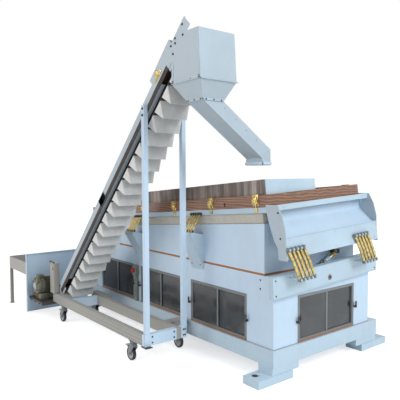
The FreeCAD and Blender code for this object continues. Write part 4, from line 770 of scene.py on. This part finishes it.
def make_trough_hardware():
    """Gusset, bolts and folded lips of the discharge trough."""
    shape = Shape("TroughHardware", ["white_paint", "dark_steel", "blue_white_paint", "red_brown_wood"], DECK)
    end = DECK_HALF_LENGTH
    for side, face in ((-1, -608.0), (1, 608.0)):
        axis = Y_AXIS * side
        for x, up in ((1613, -2), (1613, -200)):
            shape.bolt((x, face, up), axis, 6, 4, finish=1)
    for side in (-1, 1):
        face = side * 600.0
        low, high = sorted((face, face - 4 * side))
        at = Matrix.Translation((0, high, 0)) @ Matrix.Rotation(math.radians(90), 4, "X")
        shape.plate(((end + 6, 40), (end + 52, 40), (end + 6, -60)), 4, at, 0.8, 2)
    shape.block((end + 88 + 4, -598, 14), (end + 88 + 7, 598, 18), 0.8)
    for y in (-520, 0, 520):
        shape.bolt((end + 92, y, 36), X_AXIS, 4.5, 3)
    shape.block((end + 151, -600, -200), (end + 161, 600, -193.5), 1.5)
    for y in (-560, 0, 560):
        shape.bolt((end + 155, y, -215), X_AXIS, 4.5, 3)
        shape.bolt((end + 155, y, -335), X_AXIS, 4.5, 3)
    shape.block((end + 0.4, -560, -6), (end + 3, 560, -1), 0.8, 3)
    shape.finish(slot="white_paint")


def spring_points():
    """Ends of the slanted bars between the end beam and the trough's skirt, in mm."""
    points = []
    for pack in range(2):
        for index in range(5):
            step = 848.0 * pack + 44.0 * index
            high = deck_place(1660.3 + 18, -600.0 + step, -285.0)
            low_y = -550.0 + step
            low = Vector((1605 + 102, low_y, 799 + (low_y + 50) * math.tan(math.radians(3)) + 88.5 - 32))
            points.append((low, high))
    return points


def make_end_springs():
    """Slanted bars with rubber-bushed eyes on pins at both ends."""
    shape = Shape("EndSpringPacks", ["gold_plate", "wheel_rubber", "dark_frame", "white_paint"])
    ring = ((9, -11), (15, -11), (17.5, -8), (17.5, 8), (15, 11), (9, 11), (9, -11))
    for low, high in spring_points():
        for place, back in ((low, 102.0), (high, 17.0)):
            axis = X_AXIS
            shape.turned(ring, place, axis, 24, 2)
            shape.turned(((5, -15), (9.5, -15), (9.5, 15), (5, 15), (5, -15)), place, axis, 20, 1)
            shape.bar(place - axis * back, place + axis * 17, 5.5, sides=14, finish=3)
            shape.bolt(place + axis * 15, axis, 8, 6, finish=3)
        run = (high - low).normalized()
        middle = (low + high) / 2 + Vector((5, 0, 0))
        shape.bar(low + run * 12, middle, 11.5, tip=12.5, sides=16, bevel=0)
        shape.bar(middle, high - run * 12, 12.5, tip=11.5, sides=16, bevel=0)
    shape.finish(replaced=["end_spring_packs"], slot="gold_plate")


def side_spring_places():
    places = []
    for side in (-1, 1):
        for index in range(3):
            x = 600.0 - 1010.0 * index
            edge = -93.0 + side * 600.0
            pin_y = edge + side * 109.0
            under = 1247 + (x - 5) * math.tan(SLOPE) + (edge + 93) * math.tan(FALL)
            low = Vector((x, pin_y, under - 148 + 13))
            along = (x - 5) / math.cos(SLOPE)
            places.append((side, low, along))
    return places


def make_side_springs():
    """Five flat bars a side between the arm's pin and the deck's pin, eyes bushed in rubber."""
    shape = Shape("SideSprings", ["gold_plate", "wheel_rubber", "dark_steel"])
    for side, low, along in side_spring_places():
        shape.bar(low - X_AXIS * 84, low + X_AXIS * 84, 7, sides=16, finish=2)
        ends = [deck_place(along + step, side * 613.3, 13) for step in (-84, 84)]
        shape.bar(ends[0], ends[1], 7, sides=16, finish=2)
        pin = (ends[1] - ends[0]).normalized()
        for index in range(5):
            step = (index - 2) * 34.0
            foot = low + X_AXIS * step
            head = deck_place(along + step, side * 613.3, 13)
            for place, axis, finish in ((foot, X_AXIS, 0), (head, pin, 2)):
                shape.turned(((7, -8), (12.5, -8), (14.5, -6), (14.5, 6), (12.5, 8), (7, 8), (7, -8)), place, axis, 22, finish)
                shape.turned(((6.9, -9), (9.5, -9), (9.5, 9), (6.9, 9), (6.9, -9)), place, axis, 18, 1)
            run = (head - foot).normalized()
            across = run.cross(X_AXIS).normalized()
            centre = (foot + head) / 2
            turn = Matrix((X_AXIS, across, run)).transposed().to_4x4()
            span = (head - foot).length / 2 - 12
            shape.block((-9, -4, -span), (9, 4, span), 2, 0, Matrix.Translation(centre) @ turn)
        for end in (-1, 1):
            shape.bolt(low + X_AXIS * end * 80, X_AXIS * end, 8, 5, finish=2)
    shape.finish(replaced=["side_springs"], slot="gold_plate")
    arms = Shape("BracketHardware", ["white_paint", "dark_steel"])
    for side, low, along in side_spring_places():
        wall = CABINET_FRONT if side < 0 else CABINET_BACK
        for dx in (-62, 62):
            for up in (790.0, 820.0):
                arms.bolt((low.x + dx, wall + side * 17, up), Y_AXIS * side, 7, 5, finish=1) if up > 815 else None
        for dx in (-70, 70):
            arms.bar((low.x + dx, low.y, low.z - 14), (low.x + dx, low.y, low.z - 6), 7, sides=6, finish=1)
        low_y, high_y = sorted((low.y - side * 20, low.y + side * 20))
        arms.block((low.x - 84, low_y, low.z - 13), (low.x + 84, high_y, low.z - 9), 1.2)
    arms.finish(slot="white_paint")


def make_strut():
    """Turnbuckle: white threaded sleeve between a foot and a lug, with lock nuts."""
    shape = Shape("TiltTurnbuckle", ["white_paint", "gold_plate", "dark_steel"])
    x = 1510.0
    low, high = Vector((x, -20, 870.5)), Vector((x, 170, 960.5))
    run = (high - low).normalized()
    shape.block((x - 22, -42, 836.8), (x + 22, 2, 842), 1.2, 2)
    for side in (-1, 1):
        inner, outer = sorted((x + side * 13, x + side * 19))
        shape.block((inner, -38, 842), (outer, -2, 886), 2, 2)
        shape.block((inner, 152, 942), (outer, 188, 980), 2, 2)
    shape.block((1455.3, 150, 938), (1492, 190, 983), 2, 2)
    shape.block((1491, 152, 942), (1497, 188, 980), 1, 2)
    for place in (low, high):
        shape.bar(place - X_AXIS * 21, place + X_AXIS * 24, 8, sides=16, finish=2)
        shape.turned(((8, -12), (19, -12), (21, -9), (21, 9), (19, 12), (8, 12), (8, -12)), place, X_AXIS, 28, 1)
    shape.bar(low + run * 16, high - run * 16, 9, sides=20, finish=1)
    shape.bar(low + run * 92, high - run * 46, 19, sides=28, bevel=2, finish=1)
    shape.bar(low + run * 30, low + run * 92, 21, sides=28, bevel=2)
    shape.bar(low + run * 36, low + run * 47, 15, sides=6, bevel=1.5, finish=1)
    shape.bar(high - run * 47, high - run * 36, 15, sides=6, bevel=1.5, finish=1)
    shape.finish(replaced=["tilt_strut"], slot="gold_plate")


# Cabinet, drive and feed end

WINDOW_CENTRES = (-927.0, -27.0, 873.0)


def make_window_hardware():
    """Tracks, gaskets and pull handles of the sliding windows, and the cabinet's folded joints."""
    shape = Shape("WindowHardware", ["dark_steel", "orange_rubber", "dark_frame"])
    for y, side in ((CABINET_FRONT, -1), (CABINET_BACK, 1)):
        for centre in WINDOW_CENTRES:
            depth = -side
            low, high = sorted((y + depth * 5, y - depth * 2.5))
            shape.block((centre - 374, low, 270), (centre + 374, high, 279), 1, 1)
            for x in (centre - 340, centre + 340):
                low, high = sorted((y + depth * 4, y - depth * 3.5))
                shape.block((x - 7, low, 440), (x + 7, high, 486), 2.5)
            for x in (centre - 392, centre + 392):
                low, high = sorted((y, y - depth * 26))
                shape.block((x - 8, low, 430), (x + 8, high, 448), 3)
                low, high = sorted((y - depth * 16, y - depth * 26))
                shape.block((x - 9, low, 430), (x + 9, high, 490), 4)
            low, high = sorted((y + depth * 3.5, y + depth * 5.4))
            shape.block((centre - 8, low, 293), (centre + 12, high, 632), 0.8, 2)
            low, high = sorted((y, y - depth * 2))
            for x0, x1, z0, z1 in ((centre - 381, centre + 381, 266.5, 272), (centre - 381, centre + 381, 652, 657.5),
                                   (centre - 381, centre - 376, 270, 654), (centre + 376, centre + 381, 270, 654)):
                shape.block((x0, low, z0), (x1, high, z1), 0.8, 2)
    for x, side in ((-CABINET_END, -1), (CABINET_END, 1)):
        depth = -side
        centre = -17.5
        low, high = sorted((x + depth * 5, x - depth * 2.5))
        shape.block((low, centre - 374, 270), (high, centre + 374, 279), 1, 1)
        for y in (centre - 340, centre + 340):
            low, high = sorted((x + depth * 4, x - depth * 3.5))
            shape.block((low, y - 7, 440), (high, y + 7, 486), 2.5)
        for y in (centre - 392, centre + 392):
            low, high = sorted((x, x - depth * 26))
            shape.block((low, y - 8, 430), (high, y + 8, 448), 3)
            low, high = sorted((x - depth * 16, x - depth * 26))
            shape.block((low, y - 9, 430), (high, y + 9, 490), 4)
        low, high = sorted((x + depth * 3.5, x + depth * 5.4))
        shape.block((low, centre - 8, 293), (high, centre + 12, 632), 0.8, 2)
        low, high = sorted((x, x - depth * 2))
        for y0, y1, z0, z1 in ((centre - 381, centre + 381, 266.5, 272), (centre - 381, centre + 381, 652, 657.5),
                               (centre - 381, centre - 376, 270, 654), (centre + 376, centre + 381, 270, 654)):
            shape.block((low, y0, z0), (high, y1, z1), 0.8, 2)
    shape.finish(slot="dark_frame")
    bolts = Shape("CabinetBolts", ["dark_steel", "blue_white_paint"])
    for x in (-1412, 1412):
        for up in (727, 798):
            bolts.bolt((x, CABINET_FRONT, up), -Y_AXIS, 5.5, 3.5)
            bolts.bolt((x, CABINET_BACK, up), Y_AXIS, 5.5, 3.5)
    for low, high in (((-1556.5, -684.5, 820), (1556.5, -683, 837)), ((-1556.5, 592, 820), (1556.5, 593.5, 837)),
                      ((1555, -684.5, 820), (1556.5, 593.5, 837)), ((-1556.5, -684.5, 820), (-1555, 593.5, 837))):
        bolts.block(low, high, 0.6, 1)
    bolts.finish(slot="dark_steel")


def make_base_hardware():
    """Weld beads, levelling bolts and end caps of the base frame and its feet."""
    shape = Shape("BaseHardware", ["white_paint", "dark_steel", "orange_rubber"])
    for low, high in (((-1556.4, -684.4, 262), (1556.4, -683, 265.5)), ((-1556.4, 592, 262), (1556.4, 593.4, 265.5)),
                      ((1555, -684.4, 262), (1556.4, 593.4, 265.5)), ((-1556.4, -684.4, 262), (-1555, 593.4, 265.5))):
        shape.block(low, high, 0.4, 2)
    for x_side in (-1, 1):
        for y_side in (-1, 1):
            centre = x_side * 1487.5
            face = y_side * 703.0
            shape.weld((centre - 78, face, 130.5), (centre + 78, face, 130.5))
            shape.weld((centre - 78, face, 64.5), (centre + 78, face, 64.5))
            shape.turned(((0, 7), (9, 7), (11, 5), (12, 2), (24, 2), (26, 1), (26, 0), (0, 0)),
                         (centre - 20, face + y_side * 95, 64), Z_AXIS, 32, 1)
            shape.weld((x_side * 1575 - x_side * 1.0, y_side * 582, 150), (x_side * 1574, y_side * 582, 250), 1.8)
    shape.finish(slot="white_paint")


def make_beam_hardware():
    """Pivot, lock bolts and return flanges of the tilting end beam."""
    tilt = Matrix.Translation(Vector((1555, -50, 799)) * MM) @ Matrix.Rotation(math.radians(3), 4, "X")
    shape = Shape("EndBeamHardware", ["white_paint", "dark_steel", "stainless_steel"], tilt)
    for y, up in ((-660, 60), (-660, -60), (660, 60), (660, -60)):
        shape.bolt((50, y, up), X_AXIS, 5, 3.5, finish=1)
    shape.turned(((0, 6), (10, 6), (12, 4), (12, 1), (19, 1), (21, 3), (23, 3), (25, 0), (0, 0)), (50, 0, -30), X_AXIS, 36, 2)
    shape.bolt((56, 0, -30), X_AXIS, 7, 5, finish=1)
    shape.block((50, -687, 82), (53.5, 687, 88), 1)
    shape.block((50, -687, -88), (53.5, 687, -82), 1)
    shape.finish(slot="white_paint")


def make_motor():
    """Worm gear motor: finned motor body, flanged gearbox with ringed cover, terminal box."""
    shape = Shape("GearMotor", ["green_paint", "dark_steel", "orange_rubber", "gold_plate", "grey_paint"])
    x, z = -1520.0, 350.0
    shape.turned(((0, 0), (60, 0), (64, 3), (66, 8), (84, 10), (92, 14), (97, 22), (99, 40), (99, 52), (94, 56), (94, 64),
                  (99, 68), (99, 84), (90, 90), (90, 96), (0, 96)), (x, -1450, z), Y_AXIS, 56)
    shape.turned(((0, -10), (14, -10), (16, -7), (16, -3), (34, -2), (36, 1), (58, 2), (60, 5), (0, 5)), (x, -1450, z), Y_AXIS, 40, 4)
    for step in range(6):
        angle = math.radians(30 + 60 * step)
        shape.bolt((x + 80 * math.cos(angle), -1441, z + 80 * math.sin(angle)), -Y_AXIS, 7, 5, finish=1)
    shape.turned(((0, 96), (74, 96), (76, 99), (76, 232), (82, 236), (84, 242), (84, 256), (78, 259), (0, 259)),
                 (x, -1450, z), Y_AXIS, 48)
    for step in range(24):
        angle = 2 * math.pi * step / 24
        turn = Matrix.Translation((x, 0, z)) @ Matrix.Rotation(angle, 4, "Y")
        shape.block((70, -1346, -1.8), (96, -1222, 1.8), 0.8, 0, turn)
    shape.block((x - 75, -1410, 190), (x + 75, -1260, 262), 4)
    shape.block((x - 84, -1418, 190), (x + 84, -1252, 202), 3, 1)
    for step in range(5):
        shape.block((x - 72 + step * 16, -1414, 203), (x - 66 + step * 16, -1408, 268), 1.2, 2)
    shape.block((x - 34, -1420, 440), (x + 40, -1350, 476), 5)
    shape.turned(((0, 26), (24, 26), (28, 22), (28, 6), (33, 5), (33, 0), (0, 0)), (x + 60, -1424, 420), -Y_AXIS, 32, 0)
    shape.bar((x + 40, -1385, 458), (x + 58, -1385, 458), 9, sides=16, finish=1)
    shape.bar((x - 34, -1385, 458), (x - 52, -1385, 458), 9, sides=16, finish=3)
    for dx in (-62, 62):
        for y in (-1398, -1272):
            shape.bar((x + dx, y, 202), (x + dx, y, 212), 9, sides=6, finish=1)
    shape.finish(replaced=["gear_motor"], slot="green_paint")


def make_guard():
    """Sheet guard over the drive chain, with a lid rim, a pull handle and a round knob."""
    shape = Shape("ChainGuard", ["beige_paint", "dark_steel", "gold_plate"])
    shape.block((-1340, -1335, 291), (-1224, -1267, 636), 8)
    shape.block((-1343, -1337.5, 624), (-1221, -1266.5, 638), 3)
    shape.block((-1332, -1337, 300), (-1232, -1334.5, 616), 1)
    shape.bar((-1352, -1330, 654), (-1222, -1330, 654), 6, sides=14, finish=1)
    for x in (-1336, -1232):
        shape.bar((x, -1330, 636), (x, -1330, 654), 5, sides=14, finish=1)
    shape.turned(((0, 16), (9, 15), (13, 10), (12, 5), (6, 3), (6, 0), (0, 0)), (-1252, -1337, 580), -Y_AXIS, 28, 2)
    shape.finish(replaced=["chain_guard"], slot="beige_paint")


def make_feed_hardware():
    """Folded rims, stiffeners, leg pads and bolts of the feed tray, its panel and the drive plate."""
    shape = Shape("FeedTrayRims", ["beige_paint", "dark_steel"])
    left, right, near, far, top = -2320.0, -1720.0, -1482.0, -702.0, 600.0
    for start, end in (((left, near, top), (right, near, top)), ((left, far, top), (right, far, top)), ((left, near, top), (left, far, top))):
        shape.bar(start, end, 4.5, sides=12, bevel=0)
    for y in (near + 17.5, far - 17.5):
        shape.block((left - 6, y - 24, 0), (left + 41, y + 24, 5), 1.2, 1)
        shape.bar((left + 17.5, y, 5), (left + 17.5, y, 22), 9, sides=6, finish=1)
        shape.weld((left + 36, y - 15, 454), (left + 36, y + 15, 454))
    shape.finish(slot="beige_paint")
    panel = Shape("FeedPanelHardware", ["blue_white_paint", "dark_steel"])
    panel.block((-1720.5, -1482, 696), (-1690, -702, 703.5), 1.5)
    for y in (-1400, -780):
        panel.bolt((-1715, y, 585), X_AXIS, 4.5, 3)
    panel.finish(slot="blue_white_paint")
    deck = Shape("DrivePlateRibs", ["dark_steel"])
    for x in (-1690, -1560, -1430, -1330):
        deck.block((x - 5, -1440, 150), (x + 5, -1200, 169.7), 1.5)
    for x in (-1680, -1340):
        for y in (-1430, -1200):
            deck.bar((x, y, 190), (x, y, 199), 8, sides=6)
    deck.finish(slot="dark_steel")


def make_switch():
    """Lid seam, cable gland and ribbed grip of the rotary switch."""
    shape = Shape("SwitchDetails", ["grey_plastic", "red_plastic", "dark_steel"])
    x, face, up = -477.0, -728.0, 600.0
    shape.block((x - 37, face - 2.5, up - 57), (x + 37, face + 12, up + 57), 3)
    shape.turned(((0, 8), (23, 8), (25, 6), (25, 0), (0, 0)), (x, face - 2.5, up), -Y_AXIS, 36, 1)
    shape.block((x - 6, face - 34, up - 22), (x + 6, face - 8, up + 22), 2.5, 1)
    shape.turned(((0, 28), (16, 28), (19, 25), (20, 6), (0, 6)), (x, face - 2.5, up), -Y_AXIS, 30, 1)
    shape.bar((x, -705, up - 57), (x, -705, up - 72), 13, sides=6, bevel=1)
    for dx in (-29, 29):
        for rise in (-49, 49):
            shape.bar((x + dx, face - 2.5, up + rise), (x + dx, face - 4.2, up + rise), 3.4, sides=12, bevel=0.5, finish=2)
    shape.finish(replaced=["switch_knob"], slot="red_plastic")


# Operators and stage


class SEPARATOR_OT_finishes(bpy.types.Operator):
    """Give every solid of the machine its procedural finish"""
    bl_idname = "separator.finishes"
    bl_label = "Finishes"

    def execute(self, context):
        make_finishes(context.scene.separator_finish)
        finish_solids()
        return {"FINISHED"}


class SEPARATOR_OT_buckets(bpy.types.Operator):
    """Mould the 42 elevator buckets round the belt's loop"""
    bl_idname = "separator.buckets"
    bl_label = "Buckets"

    def execute(self, context):
        make_buckets()
        return {"FINISHED"}


class SEPARATOR_OT_elevator(bpy.types.Operator):
    """Add the splices, latch and bolts of the elevator's channels"""
    bl_idname = "separator.elevator"
    bl_label = "Elevator hardware"

    def execute(self, context):
        make_elevator_hardware()
        return {"FINISHED"}


class SEPARATOR_OT_head(bpy.types.Operator):
    """Add the flanges and bolts of the hood, funnel and chute"""
    bl_idname = "separator.head"
    bl_label = "Head hardware"

    def execute(self, context):
        make_head_hardware()
        return {"FINISHED"}


class SEPARATOR_OT_stand(bpy.types.Operator):
    """Add the feet, gussets and seams of the elevator's stand"""
    bl_idname = "separator.stand"
    bl_label = "Stand hardware"

    def execute(self, context):
        make_stand_hardware()
        return {"FINISHED"}


class SEPARATOR_OT_casters(bpy.types.Operator):
    """Model the swivel forks, brakes and wheels"""
    bl_idname = "separator.casters"
    bl_label = "Casters"

    def execute(self, context):
        make_casters()
        return {"FINISHED"}


class SEPARATOR_OT_clamps(bpy.types.Operator):
    """Model the plated clamps along the deck's boards"""
    bl_idname = "separator.clamps"
    bl_label = "Deck clamps"

    def execute(self, context):
        make_clamps()
        return {"FINISHED"}


class SEPARATOR_OT_deck(bpy.types.Operator):
    """Add the screws and rail lips of the deck"""
    bl_idname = "separator.deck"
    bl_label = "Deck hardware"

    def execute(self, context):
        make_board_hardware()
        return {"FINISHED"}


class SEPARATOR_OT_sleeve(bpy.types.Operator):
    """Hang the canvas band between the air chest and the deck"""
    bl_idname = "separator.sleeve"
    bl_label = "Canvas sleeve"

    def execute(self, context):
        make_sleeve()
        return {"FINISHED"}


class SEPARATOR_OT_trough(bpy.types.Operator):
    """Add the gussets, lips and bolts of the discharge trough"""
    bl_idname = "separator.trough"
    bl_label = "Trough hardware"

    def execute(self, context):
        make_trough_hardware()
        return {"FINISHED"}


class SEPARATOR_OT_springs(bpy.types.Operator):
    """Model the bushed spring bars at the end and sides"""
    bl_idname = "separator.springs"
    bl_label = "Spring packs"

    def execute(self, context):
        make_end_springs()
        make_side_springs()
        return {"FINISHED"}


class SEPARATOR_OT_strut(bpy.types.Operator):
    """Model the turnbuckle that sets the end tilt"""
    bl_idname = "separator.strut"
    bl_label = "Turnbuckle"

    def execute(self, context):
        make_strut()
        return {"FINISHED"}


class SEPARATOR_OT_cabinet(bpy.types.Operator):
    """Add the window tracks, handles, seams and bolts"""
    bl_idname = "separator.cabinet"
    bl_label = "Cabinet hardware"

    def execute(self, context):
        make_window_hardware()
        make_beam_hardware()
        return {"FINISHED"}


class SEPARATOR_OT_base(bpy.types.Operator):
    """Add the welds and levelling bolts of the base"""
    bl_idname = "separator.base"
    bl_label = "Base hardware"

    def execute(self, context):
        make_base_hardware()
        return {"FINISHED"}


class SEPARATOR_OT_drive(bpy.types.Operator):
    """Model the gear motor and the chain guard"""
    bl_idname = "separator.drive"
    bl_label = "Drive"

    def execute(self, context):
        make_motor()
        make_guard()
        return {"FINISHED"}


class SEPARATOR_OT_feed(bpy.types.Operator):
    """Add the rims, pads and bolts of the feed tray and panel"""
    bl_idname = "separator.feed"
    bl_label = "Feed end"

    def execute(self, context):
        make_feed_hardware()
        return {"FINISHED"}


class SEPARATOR_OT_switch(bpy.types.Operator):
    """Model the rotary switch's lid and grip"""
    bl_idname = "separator.switch"
    bl_label = "Switch"

    def execute(self, context):
        make_switch()
        return {"FINISHED"}


class SEPARATOR_OT_stage(bpy.types.Operator):
    """Set the floor, the soft lights and the camera"""
    bl_idname = "separator.stage"
    bl_label = "Stage"

    def execute(self, context):
        make_floor()
        make_lights(context.scene)
        make_camera(context.scene)
        return {"FINISHED"}


def make_floor():
    mesh = bpy.data.meshes.new("Floor")
    shape = bmesh.new()
    bmesh.ops.create_grid(shape, x_segments=1, y_segments=1, size=60)
    shape.to_mesh(mesh)
    shape.free()
    floor = bpy.data.objects.new("Floor", mesh)
    bpy.context.scene.collection.objects.link(floor)
    surface = Surface("FloorPaper", (0.80, 0.80, 0.80), 0.9)
    grain = surface.noise(3, 3, 0.5)
    surface.set_colour(surface.mix(surface.level(grain, 0, 1), (0.79, 0.79, 0.79), (0.81, 0.81, 0.81)))
    seen = seen_by_eye(surface.nodes, surface.links)
    light = surface.nodes.new("ShaderNodeEmission")
    light.inputs["Strength"].default_value = 0.60
    add = surface.nodes.new("ShaderNodeAddShader")
    mix = surface.nodes.new("ShaderNodeMixShader")
    surface.links.new(surface.shader.outputs[0], add.inputs[0])
    surface.links.new(light.outputs[0], add.inputs[1])
    surface.links.new(seen, mix.inputs[0])
    surface.links.new(surface.shader.outputs[0], mix.inputs[1])
    surface.links.new(add.outputs[0], mix.inputs[2])
    surface.links.new(mix.outputs[0], surface.nodes["Material Output"].inputs["Surface"])
    mesh.materials.append(surface.material)


def seen_by_eye(nodes, links):
    """1 for rays that the camera, a mirror surface or glass sends, else 0."""
    path = nodes.new("ShaderNodeLightPath")
    first = nodes.new("ShaderNodeMath")
    first.operation = "MAXIMUM"
    links.new(path.outputs["Is Camera Ray"], first.inputs[0])
    links.new(path.outputs["Is Glossy Ray"], first.inputs[1])
    second = nodes.new("ShaderNodeMath")
    second.operation = "MAXIMUM"
    links.new(first.outputs[0], second.inputs[0])
    links.new(path.outputs["Is Transmission Ray"], second.inputs[1])
    return second.outputs[0]


def make_lights(scene):
    world = bpy.data.worlds.new("Studio")
    world.use_nodes = True
    scene.world = world
    nodes, links = world.node_tree.nodes, world.node_tree.links
    background = nodes["Background"]
    background.inputs["Color"].default_value = (0.96, 0.97, 1.0, 1)
    background.inputs["Strength"].default_value = 0.50
    white = nodes.new("ShaderNodeBackground")
    white.inputs["Color"].default_value = (1, 1, 1, 1)
    mix = nodes.new("ShaderNodeMixShader")
    links.new(seen_by_eye(nodes, links), mix.inputs[0])
    links.new(background.outputs[0], mix.inputs[1])
    links.new(white.outputs[0], mix.inputs[2])
    links.new(mix.outputs[0], nodes["World Output"].inputs["Surface"])
    for name, place, target, power, width, colour in (
            ("Key", (14.0, 1.2, 9.5), (0.3, -0.3, 0.9), 1480, 7.0, (0.88, 0.96, 1.0)),
            ("Fill", (-2.5, -8.0, 5.0), (-0.2, -0.6, 1.2), 260, 5.0, (1.0, 0.97, 0.93))):
        light = bpy.data.lights.new(name, "AREA")
        light.energy = power
        light.color = colour
        light.size = width
        lamp = bpy.data.objects.new(name, light)
        lamp.location = place
        lamp.rotation_mode = "QUATERNION"
        lamp.rotation_quaternion = (Vector(target) - Vector(place)).to_track_quat("-Z", "Y")
        scene.collection.objects.link(lamp)


def make_camera(scene):
    """Camera at the photograph's place: heading, pitch and roll in degrees, lens in mm."""
    heading, pitch, roll = (math.radians(angle) for angle in (51.78667, 3.00778, -0.27046))
    forward = Vector((-math.sin(heading) * math.cos(pitch), math.cos(heading) * math.cos(pitch), -math.sin(pitch)))
    right = Vector((math.cos(heading), math.sin(heading), 0))
    up = right.cross(forward)
    turned_right = right * math.cos(roll) + up * math.sin(roll)
    turned_up = up * math.cos(roll) - right * math.sin(roll)
    axes = Matrix((turned_right, turned_up, -forward)).transposed()
    data = bpy.data.cameras.new("Camera")
    data.lens = 45.1066
    data.sensor_width = 36.0
    data.sensor_fit = "HORIZONTAL"
    data.clip_end = 200
    camera = bpy.data.objects.new("Camera", data)
    camera.matrix_world = Matrix.Translation((4.23331, -3.51501, 1.65)) @ axes.to_4x4()
    scene.collection.objects.link(camera)
    scene.camera = camera
    scene.view_settings.view_transform = "Standard"


class SEPARATOR_PT_pieces(bpy.types.Panel):
    """Lists the pieces that dress the machine"""
    bl_idname = "SEPARATOR_PT_pieces"
    bl_label = "Seed gravity separator"
    bl_space_type = "VIEW_3D"
    bl_region_type = "UI"
    bl_category = "Separator"

    def draw(self, context):
        for settings in (context.scene.separator_finish, context.scene.separator_sizes):
            for key in settings.__annotations__:
                self.layout.prop(settings, key)
        for operator in OPERATORS:
            self.layout.operator(operator.bl_idname)


OPERATORS = [
    SEPARATOR_OT_finishes, SEPARATOR_OT_buckets, SEPARATOR_OT_elevator, SEPARATOR_OT_head, SEPARATOR_OT_stand,
    SEPARATOR_OT_casters, SEPARATOR_OT_clamps, SEPARATOR_OT_deck, SEPARATOR_OT_sleeve,
    SEPARATOR_OT_trough, SEPARATOR_OT_springs, SEPARATOR_OT_strut, SEPARATOR_OT_cabinet,
    SEPARATOR_OT_base, SEPARATOR_OT_drive, SEPARATOR_OT_feed, SEPARATOR_OT_switch, SEPARATOR_OT_stage,
]
CLASSES = [SeparatorFinish, SeparatorSizes, *OPERATORS, SEPARATOR_PT_pieces]


def register():
    for item in CLASSES:
        bpy.utils.register_class(item)
    bpy.types.Scene.separator_finish = bpy.props.PointerProperty(type=SeparatorFinish)
    bpy.types.Scene.separator_sizes = bpy.props.PointerProperty(type=SeparatorSizes)


def unregister():
    del bpy.types.Scene.separator_sizes
    del bpy.types.Scene.separator_finish
    for item in reversed(CLASSES):
        bpy.utils.unregister_class(item)


def main():
    register()
    for operator in OPERATORS:
        group, name = operator.bl_idname.split(".")
        getattr(getattr(bpy.ops, group), name)()


if __name__ == "__main__":
    main()
